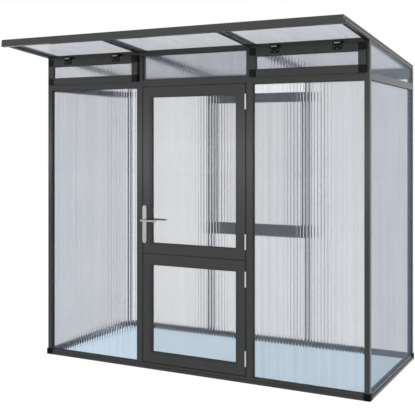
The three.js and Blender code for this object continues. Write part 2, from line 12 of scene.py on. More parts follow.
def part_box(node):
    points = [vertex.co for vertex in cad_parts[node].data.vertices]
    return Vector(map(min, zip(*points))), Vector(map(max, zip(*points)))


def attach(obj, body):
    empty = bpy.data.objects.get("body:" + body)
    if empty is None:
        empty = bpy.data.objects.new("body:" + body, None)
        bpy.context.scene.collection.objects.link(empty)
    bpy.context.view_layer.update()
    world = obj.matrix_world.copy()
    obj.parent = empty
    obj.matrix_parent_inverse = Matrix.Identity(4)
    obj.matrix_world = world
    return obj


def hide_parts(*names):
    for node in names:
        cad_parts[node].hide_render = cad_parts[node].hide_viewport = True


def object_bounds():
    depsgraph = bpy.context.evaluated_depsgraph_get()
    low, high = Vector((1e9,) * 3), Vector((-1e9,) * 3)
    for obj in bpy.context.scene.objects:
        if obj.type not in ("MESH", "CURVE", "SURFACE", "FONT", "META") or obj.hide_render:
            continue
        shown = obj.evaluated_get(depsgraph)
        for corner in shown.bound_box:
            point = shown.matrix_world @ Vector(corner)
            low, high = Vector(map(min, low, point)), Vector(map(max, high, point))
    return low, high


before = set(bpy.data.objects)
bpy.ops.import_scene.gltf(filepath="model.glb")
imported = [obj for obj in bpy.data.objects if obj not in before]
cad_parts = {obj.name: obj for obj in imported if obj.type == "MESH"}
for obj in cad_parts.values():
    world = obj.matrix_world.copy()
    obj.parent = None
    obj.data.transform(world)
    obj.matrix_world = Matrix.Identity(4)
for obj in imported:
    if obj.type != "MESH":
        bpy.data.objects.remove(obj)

CAD_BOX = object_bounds()
MM = 0.001
MERGE = MM / 20  # points nearer than this become one after a cut
WELD = MM / 100  # points nearer than this become one in a CAD node
LEVEL = MM / 10  # edges nearer than this to a height count as at it
BACK_GAP = MM / 10  # how far the rafters stop short of the house's back
ALONG = 0.99  # the least cosine of an edge that lies along an axis
TOWARDS = 0.9  # the least cosine of a face that looks one way
SHARP_DEGREES = 30.0  # the least turn at an edge that gets a bevel
SIDE_SHIFT = 0.011  # how far the side panes are moved out
HIDDEN_EDGE = 0.0067  # how deep a pane's edge sits in its frame
LOG = logging.getLogger("greenhouse")

Triple = tuple[float, float, float]
Point = Vector | Triple


class Body(Enum):
    """The bodies that pieces ride on."""

    HOUSE = "house"
    UPPER_LEAF = "upper_leaf"
    LOWER_LEAF = "lower_leaf"
    LEVERS = "levers"
    VENT_LEFT = "vent_left"
    VENT_RIGHT = "vent_right"


class Slot(Enum):
    """Names of material slots, which sheets carry but nothing in this script reads."""

    FRAME = "frame_coating"
    TWIN_WALL = "twin_wall"
    CLEAR = "clear_glazing"
    STEEL = "steel"
    BLACK = "black_plastic"


class Run(Enum):
    """The axis that a bar or a sheet's webs run along, by its index."""

    X = 0
    Y = 1
    Z = 2


class Value:
    """A number in a shader that joins others through Math nodes as Python adds them up."""

    def __init__(self, shade: "Shade", socket: bpy.types.NodeSocket) -> None:
        """Wraps a socket.

        Args:
            shade: The material that the socket belongs to.
            socket: The output that carries the number.
        """
        self.shade = shade
        self.socket = socket

    def _join(self, operation: str, first: "Value | float", second: "Value | float") -> "Value":
        """Adds a Math node that joins two numbers."""
        return self.shade.value("ShaderNodeMath", {"operation": operation}, {0: first, 1: second})

    def __add__(self, other: "Value | float") -> "Value":
        """This number plus another."""
        return self._join("ADD", self, other)

    __radd__ = __add__

    def __mul__(self, other: "Value | float") -> "Value":
        """This number times another."""
        return self._join("MULTIPLY", self, other)

    __rmul__ = __mul__

    def __sub__(self, other: "Value | float") -> "Value":
        """This number less another."""
        return self._join("SUBTRACT", self, other)

    def __rsub__(self, other: float) -> "Value":
        """A plain number less this one."""
        return self._join("SUBTRACT", other, self)

    def __truediv__(self, other: "Value | float") -> "Value":
        """This number over another."""
        return self._join("DIVIDE", self, other)


class Shade:
    """The node tree of a material or of the world."""

    def __init__(self, name: str, world: bool = False) -> None:
        """Makes the material or world with an empty tree and its output.

        Args:
            name: Its name.
            world: Whether the tree is the world's.
        """
        self.material = (bpy.data.worlds if world else bpy.data.materials).new(name)
        self.material.use_nodes = True
        self.tree = self.material.node_tree
        self.tree.nodes.clear()
        ending = "ShaderNodeOutputWorld" if world else "ShaderNodeOutputMaterial"
        self.output = self.tree.nodes.new(ending)

    def node(self, kind: str, settings: dict, sockets: dict) -> bpy.types.Node:
        """Adds a node.

        Args:
            kind: The node's type.
            settings: Its settings, set before its sockets.
            sockets: Values or links, by input name or number.

        Returns:
            The node.
        """
        made = self.tree.nodes.new(kind)
        for name, setting in settings.items():
            setattr(made, name, setting)
        for name, value in sockets.items():
            self.feed(made.inputs[name], value)
        return made

    def feed(self, target: bpy.types.NodeSocket, value: object) -> None:
        """Links an output to an input, or sets the input's own value.

        Args:
            target: The input.
            value: The output to link, or a number, colour or vector.
        """
        if isinstance(value, Value):
            value = value.socket
        if isinstance(value, bpy.types.NodeSocket):
            self.tree.links.new(value, target)
        elif isinstance(value, tuple) and target.type == "RGBA":
            target.default_value = (*value, 1.0)
        else:
            target.default_value = value

    def value(self, kind: str, settings: dict, sockets: dict, output: str | int = 0) -> Value:
        """Adds a node and wraps one of its outputs as a number."""
        return Value(self, self.node(kind, settings, sockets).outputs[output])

    def place(self, scale: Triple = (1.0, 1.0, 1.0)) -> bpy.types.NodeSocket:
        """The place on the object in metres, stretched along each axis."""
        where = self.node("ShaderNodeTexCoord", {}, {}).outputs["Object"]
        return self.node("ShaderNodeMapping", {}, {"Vector": where, "Scale": scale}).outputs[0]

    def noise(self, scale: float, detail: float, stretch: Triple = (1.0, 1.0, 1.0)) -> Value:
        """Noise from 0 to 1 over the object, with so many spots to the metre."""
        sockets = {"Vector": self.place(stretch), "Scale": scale, "Detail": detail}
        return self.value("ShaderNodeTexNoise", {}, sockets, "Fac")

    def mix(self, amount: Value, low: Triple | bpy.types.NodeSocket,
            high: Triple) -> bpy.types.NodeSocket:
        """A colour between two, by a number from 0 to 1."""
        sockets = {"Factor": amount, 6: low, 7: high}
        return self.node("ShaderNodeMix", {"data_type": "RGBA"}, sockets).outputs[2]

    def bump(self, height: Value, distance: float, strength: float) -> bpy.types.NodeSocket:
        """A normal that follows a height."""
        sockets = {"Height": height, "Distance": distance, "Strength": strength}
        return self.node("ShaderNodeBump", {}, sockets).outputs["Normal"]

    def math(self, operation: str, first: Value | float, second: Value | float = 0.0) -> Value:
        """A Math node by its operation, its result kept from 0 to 1 where it adds."""
        settings = {"operation": operation, "use_clamp": operation == "ADD"}
        return self.value("ShaderNodeMath", settings, {0: first, 1: second})

    def axis(self, run: Run) -> Value:
        """The place on the object along one axis, in metres."""
        parts = self.node("ShaderNodeSeparateXYZ", {}, {0: self.place()})
        return Value(self, parts.outputs[run.value])

    def seen(self) -> Value:
        """Tells rays that show things from rays that light them.

        Returns:
            1 for rays from the eye, in reflections and through clear pieces, and 0 for the rest.
        """
        path = self.node("ShaderNodeLightPath", {}, {}).outputs
        camera, glossy, clear = (Value(self, path[f"Is {kind} Ray"])
                                 for kind in ("Camera", "Glossy", "Transmission"))
        return self.math("ADD", self.math("ADD", camera, glossy), clear)

    def principled(self, sockets: dict) -> bpy.types.Material:
        """Ends the tree in a Principled shader.

        Args:
            sockets: The shader's values and links, by input name.

        Returns:
            The finished material.
        """
        shader = self.node("ShaderNodeBsdfPrincipled", {}, sockets)
        self.tree.links.new(shader.outputs[0], self.output.inputs["Surface"])
        return self.material


@dataclass(frozen=True)
class PowderCoat:
    """Anthracite powder coat on an extruded bar, with its fine orange peel and die lines."""

    run: Run
    deep: Triple = (0.0128, 0.0136, 0.0136)
    pale: Triple = (0.0172, 0.0181, 0.0176)
    roughness: float = 0.26
    roughness_spread: float = 0.08
    peel_scale: float = 700.0
    peel_height: float = 0.00006
    line_scale: float = 260.0
    line_share: float = 0.02
    line_weight: float = 0.35
    line_height: float = 0.10
    patch_scale: float = 2.2
    gloss: float = 0.44
    skirt_face: float = 0.0
    skirt_top: float = 0.0204
    # black painted as shade on the sills' lips
    lip_shade: Triple = (0.0025, 0.0028, 0.0035)

    def build(self, name: str = "powder_coat") -> bpy.types.Material:
        """Makes the material.

        Args:
            name: The start of the material's name.

        Returns:
            The finished material, with black painted as shade on the sills' lips further out than
            skirt_face.
        """
        shade = Shade(f"{name}_{self.run.name.lower()}")
        stretch = tuple(self.line_share if axis == self.run.value else 1.0 for axis in range(3))
        lines = shade.noise(self.line_scale, detail=3.0, stretch=stretch)
        patches = shade.noise(self.patch_scale, detail=4.0)
        peel = shade.noise(self.peel_scale, detail=2.0)
        tone = patches * (1 - self.line_weight) + lines * self.line_weight
        height = peel + lines * self.line_height
        colour = shade.mix(tone, self.deep, self.pale)
        # painted shade: the coat turns black on the sills' lips, as if in shadow
        if self.skirt_face:
            colour = shade.mix(self._lip_shade_mask(shade), colour, self.lip_shade)
        return shade.principled({
            "Base Color": colour,
            "Roughness": self.roughness + (tone - 0.5) * self.roughness_spread,
            "Normal": shade.bump(height, self.peel_height, strength=0.6),
            "Specular IOR Level": self.gloss,
        })

    def _lip_shade_mask(self, shade: Shade) -> Value:
        """1 on the lip that stands out at the foot of the side sills, where black is painted as
        shade, 0 elsewhere.

        Args:
            shade: The material.

        Returns:
            The mask.
        """
        across = shade.math("ABSOLUTE", shade.axis(Run.X))
        return (shade.math("GREATER_THAN", across, self.skirt_face)
                * shade.math("LESS_THAN", shade.axis(Run.Z), self.skirt_top))


@dataclass(frozen=True)
class SheetSkin:
    """The flat faces of a twin-wall sheet, with a faint line at each web if a row is given."""

    name: str = "twin_wall_skin"
    colour: Triple = (0.26, 0.295, 0.36)
    cloudy: Triple = (0.29, 0.325, 0.39)
    alpha: float = 0.158
    row: Run | None = None
    webs: Run = Run.Z
    alpha_spread: float = 0.05
    roughness: float = 0.30
    pitch: float = 0.022
    line_share: float = 0.14
    line_alpha: float = 0.05
    streak_scale: float = 34.0
    streak_alpha: float = 0.12
    streak_share: float = 0.01
    haze_scale: float = 3.0
    wave_scale: float = 14.0
    wave_height: float = 0.0006
    roughness_spread: float = 0.08
    gloss: float = 0.3

    def build(self) -> bpy.types.Material:
        """Makes the material.

        Returns:
            The finished material.
        """
        shade = Shade(self.name)
        haze = shade.noise(self.haze_scale, detail=3.0)
        waves = shade.noise(self.wave_scale, detail=2.0)
        stretch = tuple(self.streak_share if axis == self.webs.value else 1.0 for axis in range(3))
        streaks = shade.noise(self.streak_scale, detail=1.0, stretch=stretch)
        alpha = self.alpha + (haze - 0.5) * self.alpha_spread + (streaks - 0.5) * self.streak_alpha
        if self.row is not None:
            turn = shade.math("FRACT", shade.axis(self.row) / self.pitch)
            alpha = alpha + shade.math("LESS_THAN", turn, self.line_share) * self.line_alpha
        return shade.principled({
            "Base Color": shade.mix(haze, self.colour, self.cloudy),
            "Roughness": self.roughness + (haze - 0.5) * self.roughness_spread,
            "Alpha": alpha,
            "Specular IOR Level": self.gloss,
            "Normal": shade.bump(waves, self.wave_height, strength=0.2),
        })


@dataclass(frozen=True)
class SheetWeb:
    """The clear ribs where a twin-wall sheet's webs join its face, which bend the view."""

    colour: Triple = (0.995, 0.997, 1.0)
    dull: Triple = (0.985, 0.988, 0.995)
    roughness: float = 0.012
    bending: float = 1.22
    haze_scale: float = 9.0
    roughness_spread: float = 0.01

    def build(self) -> bpy.types.Material:
        """Makes the material.

        Returns:
            The finished material.
        """
        shade = Shade("twin_wall_web")
        haze = shade.noise(self.haze_scale, detail=3.0)
        return shade.principled({
            "Base Color": shade.mix(haze, self.dull, self.colour),
            "Roughness": self.roughness + (haze - 0.5) * self.roughness_spread,
            "Transmission Weight": 1.0,
            "IOR": self.bending,
            "Specular Tint": (0.0, 0.0, 0.0),
        })


@dataclass(frozen=True)
class ClearPane:
    """Clear glazing with a slight blue-grey body."""

    colour: Triple = (0.30, 0.325, 0.375)
    deep: Triple = (0.27, 0.295, 0.35)
    alpha: float = 0.115
    roughness: float = 0.04
    roughness_spread: float = 0.03
    alpha_spread: float = 0.04
    haze_scale: float = 1.4
    wave_scale: float = 6.0
    wave_height: float = 0.0004
    gloss: float = 0.3

    def build(self) -> bpy.types.Material:
        """Makes the material.

        Returns:
            The finished material.
        """
        shade = Shade("clear_pane")
        haze = shade.noise(self.haze_scale, detail=2.0)
        waves = shade.noise(self.wave_scale, detail=1.0)
        return shade.principled({
            "Base Color": shade.mix(haze, self.colour, self.deep),
            "Roughness": self.roughness + haze * self.roughness_spread,
            "Alpha": self.alpha + (haze - 0.5) * self.alpha_spread,
            "Specular IOR Level": self.gloss,
            "Normal": shade.bump(waves, self.wave_height, strength=0.2),
        })


@dataclass(frozen=True)
class SatinSteel:
    """Stainless steel brushed along one axis."""

    run: Run
    bright: Triple = (0.40, 0.40, 0.40)
    dull: Triple = (0.31, 0.31, 0.31)
    roughness: float = 0.34
    brush_scale: float = 1500.0
    brush_share: float = 0.03
    brush_height: float = 0.00003
    brush_weight: float = 0.6
    smear_scale: float = 25.0
    roughness_spread: float = 0.14

    def build(self, name: str = "satin_steel") -> bpy.types.Material:
        """Makes the material.

        Args:
            name: The start of the material's name.

        Returns:
            The finished material.
        """
        shade = Shade(f"{name}_{self.run.name.lower()}")
        stretch = tuple(self.brush_share if axis == self.run.value else 1.0 for axis in range(3))
        brush = shade.noise(self.brush_scale, detail=3.0, stretch=stretch)
        smears = shade.noise(self.smear_scale, detail=3.0)
        tone = brush * self.brush_weight + smears * (1 - self.brush_weight)
        return shade.principled({
            "Base Color": shade.mix(tone, self.dull, self.bright),
            "Metallic": 1.0,
            "Roughness": self.roughness + (smears - 0.5) * self.roughness_spread,
            "Normal": shade.bump(brush, self.brush_height, strength=0.5),
        })


@dataclass(frozen=True)
class Moulded:
    """Black moulded nylon or rubber with a fine spark-eroded grain."""

    name: str
    colour: Triple
    worn: Triple
    roughness: float
    gloss: float
    grain_scale: float = 1100.0
    grain_height: float = 0.00008
    patch_scale: float = 30.0
    roughness_spread: float = 0.12

    def build(self) -> bpy.types.Material:
        """Makes the material.

        Returns:
            The finished material.
        """
        shade = Shade(self.name)
        grain = shade.noise(self.grain_scale, detail=2.0)
        patches = shade.noise(self.patch_scale, detail=3.0)
        return shade.principled({
            "Base Color": shade.mix(patches, self.colour, self.worn),
            "Roughness": self.roughness + (patches - 0.5) * self.roughness_spread,
            "Specular IOR Level": self.gloss,
            "Normal": shade.bump(grain, self.grain_height, strength=0.5),
        })


class Finishes:
    """Every finish of the greenhouse, made once."""

    def __init__(self) -> None:
        """Builds the materials."""
        self.coat = {run: PowderCoat(run).build() for run in Run}
        self.fascia_coat = PowderCoat(
            Run.X, (0.0240, 0.0250, 0.0245), (0.0290, 0.0300, 0.0295)).build("fascia_coat")
        # the sills' coats carry black painted as shade on their lips
        self.sill_coat = {
            Run.Y: PowderCoat(Run.Y, skirt_face=1.2502).build("sill_coat"),
            Run.X: PowderCoat(Run.X, skirt_face=1.2110).build("sill_coat"),
        }
        self.steel = {run: SatinSteel(run).build() for run in Run}
        self.bright_steel = SatinSteel(
            Run.Z, (0.62, 0.62, 0.61), (0.51, 0.51, 0.50)).build("bright_steel")
        # the inner handle's steel, the same steel darkened as painted shade
        shaded_tones = ((0.13, 0.13, 0.14), (0.08, 0.08, 0.09))
        self.shaded_inner_steel = {run: SatinSteel(run, *shaded_tones).build("shaded_inner_steel") for run in Run}
        self.skin = SheetSkin().build()
        self.left_skin = SheetSkin(
            "left_bay_skin", (0.33, 0.41, 0.62), (0.36, 0.44, 0.65), alpha=0.055).build()
        self.back_skin = SheetSkin("back_wall_skin", row=Run.X).build()
        self.side_skin = SheetSkin(
            "side_wall_skin", (0.07, 0.12, 0.19), (0.09, 0.14, 0.21), alpha=0.275,
            row=Run.Y).build()
        self.gable_skin = SheetSkin(
            "gable_skin", (0.19, 0.24, 0.32), (0.21, 0.26, 0.34), alpha=0.21, row=Run.Y).build()
        self.transom_skin = SheetSkin(
            "transom_skin", (0.175, 0.20, 0.27), (0.205, 0.23, 0.30), alpha=0.21).build()
        self.roof_skin = SheetSkin(
            "roof_skin", (0.28, 0.33, 0.42), (0.32, 0.37, 0.45), alpha=0.34, row=Run.X,
            webs=Run.Y).build()
        self.opal = SheetSkin(
            "opal_pane", (0.24, 0.26, 0.30), (0.28, 0.30, 0.34), alpha=0.20, row=Run.X).build()
        self.web = SheetWeb().build()
        self.clear = ClearPane().build()
        self.nylon = Moulded(
            "black_nylon", (0.0025, 0.0030, 0.0042), (0.0045, 0.0050, 0.0062),
            roughness=0.42, gloss=0.12).build()
        self.cap = Moulded(
            "cap_nylon", (0.0018, 0.0028, 0.0040), (0.0030, 0.0042, 0.0055),
            roughness=0.50, gloss=0.05).build()
        self.rubber = Moulded(
            "seal_rubber", (0.0200, 0.0210, 0.0215), (0.0280, 0.0285, 0.0285),
            roughness=0.70, gloss=0.30).build()


class Bench:
    """Models pieces with Blender's own operators, each with its place in its mesh."""

    @staticmethod
    def clear_selection() -> None:
        """Leaves nothing selected, so that an operator acts on new work alone."""
        if bpy.context.object and bpy.context.object.mode != "OBJECT":
            bpy.ops.object.mode_set(mode="OBJECT")
        bpy.ops.object.select_all(action="DESELECT")

    @staticmethod
    def pick(obj: bpy.types.Object) -> None:
        """Selects one object alone and makes it the active one.

        Args:
            obj: The object.
        """
        Bench.clear_selection()
        obj.select_set(True)
        bpy.context.view_layer.objects.active = obj

    @staticmethod
    def _unselect(obj: bpy.types.Object, kind: str) -> None:
        """Picks an object and leaves none of its mesh selected, ready to select edges or faces.

        Args:
            obj: The object.
            kind: What will be selected, EDGE or FACE.
        """
        Bench.pick(obj)
        bpy.ops.object.mode_set(mode="EDIT")
        bpy.ops.mesh.select_mode(type=kind)
        bpy.ops.mesh.select_all(action="DESELECT")
        bpy.ops.object.mode_set(mode="OBJECT")

    @staticmethod
    def block(name: str, low: Point, high: Point) -> bpy.types.Object:
        """A box between two corners.

        Args:
            name: The object's name.
            low: Its lowest corner.
            high: Its highest corner.

        Returns:
            The box, to be shaped further.
        """
        low, high = Vector(low), Vector(high)
        Bench.clear_selection()
        bpy.ops.mesh.primitive_cube_add(size=1.0, location=(low + high) / 2, scale=high - low)
        made = bpy.context.object
        made.name = name
        bpy.ops.object.transform_apply(location=True, rotation=True, scale=True)
        return made

    @staticmethod
    def rod(name: str, radius: float, start: Point, length: float, run: Run,
            sides: int = 32) -> bpy.types.Object:
        """A round bar along one axis.

        Args:
            name: The object's name.
            radius: Its radius.
            start: The centre of its first end.
            length: Its length along the axis.
            run: The axis.
            sides: The number of faces round it.

        Returns:
            The bar, to be shaped further.
        """
        middle = Vector(start)
        middle[run.value] += length / 2
        quarter = math.pi / 2
        turns = {Run.X: (0.0, quarter, 0.0), Run.Y: (quarter, 0.0, 0.0), Run.Z: (0.0, 0.0, 0.0)}
        Bench.clear_selection()
        bpy.ops.mesh.primitive_cylinder_add(
            vertices=sides, radius=radius, depth=length, location=middle, rotation=turns[run])
        made = bpy.context.object
        made.name = name
        bpy.ops.object.transform_apply(location=True, rotation=True, scale=True)
        return made

    @staticmethod
    def push_face(obj: bpy.types.Object, towards: Point, step: float, reach: float) -> None:
        """Insets the face that looks one way and extrudes it.

        Args:
            obj: The object.
            towards: The way that the face looks.
            step: The inset's width.
            reach: How far the face goes, negative for inwards.
        """
        towards = Vector(towards)
        Bench._unselect(obj, "FACE")
        furthest = max(obj.data.polygons, key=lambda face: face.center.dot(towards))
        furthest.select = True
        bpy.ops.object.mode_set(mode="EDIT")
        bpy.ops.mesh.inset(thickness=step)
        bpy.ops.mesh.extrude_region_move(TRANSFORM_OT_translate={"value": towards * reach})
        bpy.ops.object.mode_set(mode="OBJECT")

    @staticmethod
    def cut_off(obj: bpy.types.Object, point: Vector, normal: Vector) -> None:
        """Cuts away what lies in front of a plane and closes the cut.

        Args:
            obj: The object.
            point: A point on the plane.
            normal: The way that the cut-away part lies.
        """
        Bench.pick(obj)
        bpy.ops.object.mode_set(mode="EDIT")
        bpy.ops.mesh.select_all(action="SELECT")
        bpy.ops.mesh.bisect(plane_co=point, plane_no=normal, use_fill=True, clear_outer=True)
        bpy.ops.mesh.select_all(action="SELECT")
        bpy.ops.mesh.remove_doubles(threshold=MERGE)
        bpy.ops.mesh.dissolve_degenerate(threshold=MERGE)
        bpy.ops.mesh.select_all(action="SELECT")
        bpy.ops.mesh.normals_make_consistent(inside=False)
        bpy.ops.object.mode_set(mode="OBJECT")

    @staticmethod
    def round_edges(obj: bpy.types.Object, run: Run, radius: float, segments: int,
                    near: float | None = None) -> None:
        """Rounds the edges that lie along one axis.

        Args:
            obj: The object.
            run: The axis.
            radius: The rounding's radius.
            segments: Its steps.
            near: Only edges at this Z, or all of them.
        """
        Bench._unselect(obj, "EDGE")
        points = obj.data.vertices
        for edge in obj.data.edges:
            first, second = (points[i].co for i in edge.vertices)
            way = (second - first).normalized()
            level = near is None or abs(first.z - near) < LEVEL
            edge.select = abs(way[run.value]) > ALONG and level
        bpy.ops.object.mode_set(mode="EDIT")
        bpy.ops.mesh.bevel(offset=radius, segments=segments)
        bpy.ops.object.mode_set(mode="OBJECT")

    @staticmethod
    def soften(obj: bpy.types.Object, width: float, segments: int = 2) -> None:
        """Bevels every sharp edge and smooths what is left, with the big faces kept flat.

        Args:
            obj: The object.
            width: The bevel's width.
            segments: Its steps.
        """
        Bench.pick(obj)
        bpy.ops.object.shade_smooth_by_angle(angle=math.radians(SHARP_DEGREES))
        bevel = obj.modifiers.new("edges", "BEVEL")
        bevel.width = width
        bevel.segments = segments
        bevel.harden_normals = True
        bevel.limit_method = "ANGLE"
        bevel.angle_limit = math.radians(SHARP_DEGREES)
        bpy.ops.object.modifier_apply(modifier=bevel.name)

    @staticmethod
    def carve(obj: bpy.types.Object, tool: bpy.types.Object,
              operation: str = "DIFFERENCE") -> None:
        """Cuts one object out of another, or keeps what they share, and throws the tool away.

        Args:
            obj: The object that stays.
            tool: The object that is thrown away.
            operation: DIFFERENCE to cut, or INTERSECT to keep what they share.
        """
        Bench.pick(obj)
        cut = obj.modifiers.new("cut", "BOOLEAN")
        cut.operation = operation
        cut.object = tool
        bpy.ops.object.modifier_apply(modifier=cut.name)
        bpy.data.objects.remove(tool)

    @staticmethod
    def repeat(obj: bpy.types.Object, count: int, step: Vector) -> None:
        """Repeats a piece in a row within its own mesh.

        Args:
            obj: The piece.
            count: How many there are in the end.
            step: The way from each to the next.
        """
        Bench.pick(obj)
        array = obj.modifiers.new("row", "ARRAY")
        array.use_relative_offset = False
        array.use_constant_offset = True
        array.constant_offset_displace = step
        array.count = count
        bpy.ops.object.modifier_apply(modifier=array.name)

    @staticmethod
    def join(name: str, parts: list[bpy.types.Object]) -> bpy.types.Object:
        """Joins several objects in one mesh that keeps their materials.

        Args:
            name: The joined object's name.
            parts: The objects.

        Returns:
            The joined object.
        """
        Bench.pick(parts[0])
        for part in parts:
            part.select_set(True)
        bpy.ops.object.join()
        parts[0].name = name
        return parts[0]

    @staticmethod
    def copy(obj: bpy.types.Object, name: str, move: Vector) -> bpy.types.Object:
        """A copy with a mesh of its own, moved in its mesh.

        Args:
            obj: The object to copy.
            name: The copy's name.
            move: Where it goes from there.

        Returns:
            The copy.
        """
        Bench.pick(obj)
        bpy.ops.object.duplicate()
        made = bpy.context.object
        made.name = name
        made.location = move
        bpy.ops.object.transform_apply(location=True, rotation=True, scale=True)
        return made

    @staticmethod
    def settle(obj: bpy.types.Object, matrix: Matrix) -> None:
        """Turns and moves a piece in its mesh, from the frame it was modelled in to the house's.

        Args:
            obj: The piece.
            matrix: The frame it was modelled in.
        """
        Bench.pick(obj)
        obj.matrix_world = matrix
        bpy.ops.object.transform_apply(location=True, rotation=True, scale=True)


def finish_piece(obj: bpy.types.Object, body: Body,
                 finish: bpy.types.Material | None = None,
                 stands_for: tuple[str, ...] = ()) -> bpy.types.Object:
    """Dresses a finished piece and puts it on its body.

    Args:
        obj: The piece.
        body: The body it rides on.
        finish: Its material, or None where it has its own already.
        stands_for: The CAD nodes that it replaces.

    Returns:
        The piece.
    """
    if finish is not None:
        obj.data.materials.clear()
        obj.data.materials.append(finish)
    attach(obj, body.value)
    if stands_for:
        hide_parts(*stands_for)
    LOG.info("%s on %s", obj.name, body.value)
    return obj


def face_looking(node: str, way: Point) -> bpy.types.MeshPolygon:
    """The largest face of a CAD node among those that look about one way.

    Args:
        node: The node's name.
        way: The way.

    Returns:
        The face.
    """
    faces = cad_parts[node].data.polygons
    return max((face for face in faces if face.normal.dot(Vector(way)) > TOWARDS),
               key=lambda face: face.area)


@dataclass
class RoofPlane:
    """The roof's slope, as a frame whose origin is the middle of the canopy's top front edge."""

    angle: float = field(init=False)
    matrix: Matrix = field(init=False)

    def __post_init__(self) -> None:
        """Reads the slope from a roof pane and the edge from the canopy's front bar."""
        normal = face_looking("roof_pane_middle", Vector((0, 0, 1))).normal
        self.angle = math.atan2(normal.y, normal.z)
        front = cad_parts["canopy_fascia"].data.vertices
        edge = max((point.co for point in front), key=lambda place: place.z)
        slope = Matrix.Rotation(-self.angle, 4, "X")
        self.matrix = Matrix.Translation((0.0, edge.y, edge.z)) @ slope

    def box(self, node: str) -> tuple[Vector, Vector]:
        """A node's lowest and highest corner in the roof's frame.

        Args:
            node: The node's name.

        Returns:
            The two corners.
        """
        inverse = self.matrix.inverted()
        points = [inverse @ point.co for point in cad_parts[node].data.vertices]
        low = Vector(min(point[axis] for point in points) for axis in range(3))
        high = Vector(max(point[axis] for point in points) for axis in range(3))
        return low, high

    def along(self, y: float, depth: float) -> float:
        """The place along the slope that lies at a Y of the house, so deep under the roof's top."""
        return (y - self.matrix.translation.y + depth * math.sin(self.angle)) / math.cos(self.angle)


def trim_back(part: bpy.types.Object) -> None:
    """Cuts away what would reach past the house's back."""
    Bench.cut_off(part, Vector((0, CAD_BOX[1][1] - BACK_GAP, 0)), Vector((0, 1, 0)))


def side_place(low: Vector, high: Vector) -> tuple[Vector, Vector]:
    """A side wall's pane moved out, so that it sits just behind the frame's outer face."""
    move = Vector((math.copysign(SIDE_SHIFT, low.x), 0.0, 0.0))
    return low + move, high + move


@dataclass
class TwinWallSheet:
    """A twin-wall sheet: a flat slab, with clear ribs behind its outer face where they show."""

    node: str
    across: Run
    webs_run: Run
    body: Body = Body.HOUSE
    slot: Slot = Slot.TWIN_WALL
    ribbed: bool = True
    pitch: float = 0.022
    rib_width: float = 0.0130
    rib_depth: float = 0.0019
    face_thickness: float = 0.0006
    rib_sides: int = 64
    rib_smoothing: float = math.radians(20.0)
    gable_rise: float = 0.020

    def build(self, skin: bpy.types.Material, web: bpy.types.Material,
              roof: RoofPlane) -> bpy.types.Object:
        """Models the sheet in place of its CAD slab.

        Args:
            skin: The finish of its faces.
            web: The finish of its ribs.
            roof: The roof's slope, which a roof sheet lies in and a gable sheet is cut to.

        Returns:
            The sheet.
        """
        on_roof = self.node.startswith("roof")
        gable = self.node.startswith("gable")
        low, high = roof.box(self.node) if on_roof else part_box(self.node)
        if self.across is Run.X:
            low, high = side_place(low, high)
            trim = Vector((0.0, HIDDEN_EDGE, HIDDEN_EDGE))
            low, high = low + trim, high - trim
        if gable:
            high.z += self.gable_rise
        sheet = Bench.block(f"{self.node}_sheet", low, high)
        sheet.data.materials.append(skin)
        if gable:
            under = roof.matrix @ Vector((0.0, 1.0, -OuterRafter.face_height - MM / 2))
            Bench.cut_off(sheet, under, roof.matrix.to_3x3() @ Vector((0, 0, 1)))
        if self.ribbed:
            ribs = self._ribs(low, high)
            ribs.data.materials.append(web)
            sheet = Bench.join(sheet.name, [sheet, ribs])
        if on_roof:
            Bench.settle(sheet, roof.matrix)
        return finish_piece(sheet, self.body, stands_for=(self.node,))

    def _ribs(self, low: Vector, high: Vector) -> bpy.types.Object:
        """The row of lens-shaped ribs behind the outer face, evenly spread over the width.

        Args:
            low: The sheet's lowest corner.
            high: Its highest corner.

        Returns:
            The ribs as one piece.
        """
        row = next(axis for axis in Run if axis not in (self.across, self.webs_run))
        width = high[row.value] - low[row.value]
        count = round(width / self.pitch)
        step = Vector()
        step[row.value] = width / count
        start = low.copy()
        start[row.value] += step[row.value] / 2
        start[self.across.value] += self.face_thickness + self.rib_depth / 2
        start[self.webs_run.value] += self.face_thickness
        length = high[self.webs_run.value] - low[self.webs_run.value] - 2 * self.face_thickness
        radius = (self.rib_width ** 2 + self.rib_depth ** 2) / (4 * self.rib_depth)
        offset = Vector()
        offset[self.across.value] = radius - self.rib_depth / 2
        ribs, other = (Bench.rod(f"{self.node}_ribs", radius, centre, length, self.webs_run,
                                 self.rib_sides) for centre in (start - offset, start + offset))
        Bench.carve(ribs, other, "INTERSECT")
        Bench.pick(ribs)
        bpy.ops.object.shade_smooth_by_angle(angle=self.rib_smoothing)
        Bench.repeat(ribs, count, step)
        return ribs


@dataclass
class Glazing:
    """The house's fixed sheets and the rubber seals round them."""

    finishes: Finishes
    roof: RoofPlane

    def build(self) -> None:
        """Models every fixed sheet."""
        finishes = self.finishes
        skins = {"front": finishes.skin, "back": finishes.back_skin, "side": finishes.side_skin,
                 "transom": finishes.transom_skin, "gable": finishes.gable_skin}
        nodes = [f"{wall}_pane_{side}" for wall in ("front", "back", "side", "gable")
                 for side in ("left", "right")]
        for node in [*nodes, "transom_pane", "back_pane_lower"]:
            wall = node.split("_")[0]
            across = Run.X if wall in ("side", "gable") else Run.Y
            skin = finishes.left_skin if node == "front_pane_left" else skins[wall]
            TwinWallSheet(node, across, Run.Z, ribbed=wall in ("front", "transom")).build(
                skin, finishes.web, self.roof)
            if wall != "gable":
                Seal(node, Wall.SIDE if across is Run.X else Wall.FACING).build(finishes, self.roof)
        for bay in ("left", "middle", "right"):
            TwinWallSheet(f"roof_pane_{bay}", Run.Z, Run.Y, ribbed=False).build(
                finishes.roof_skin, finishes.web, self.roof)
            Seal(f"roof_pane_{bay}", Wall.ROOF).build(finishes, self.roof)


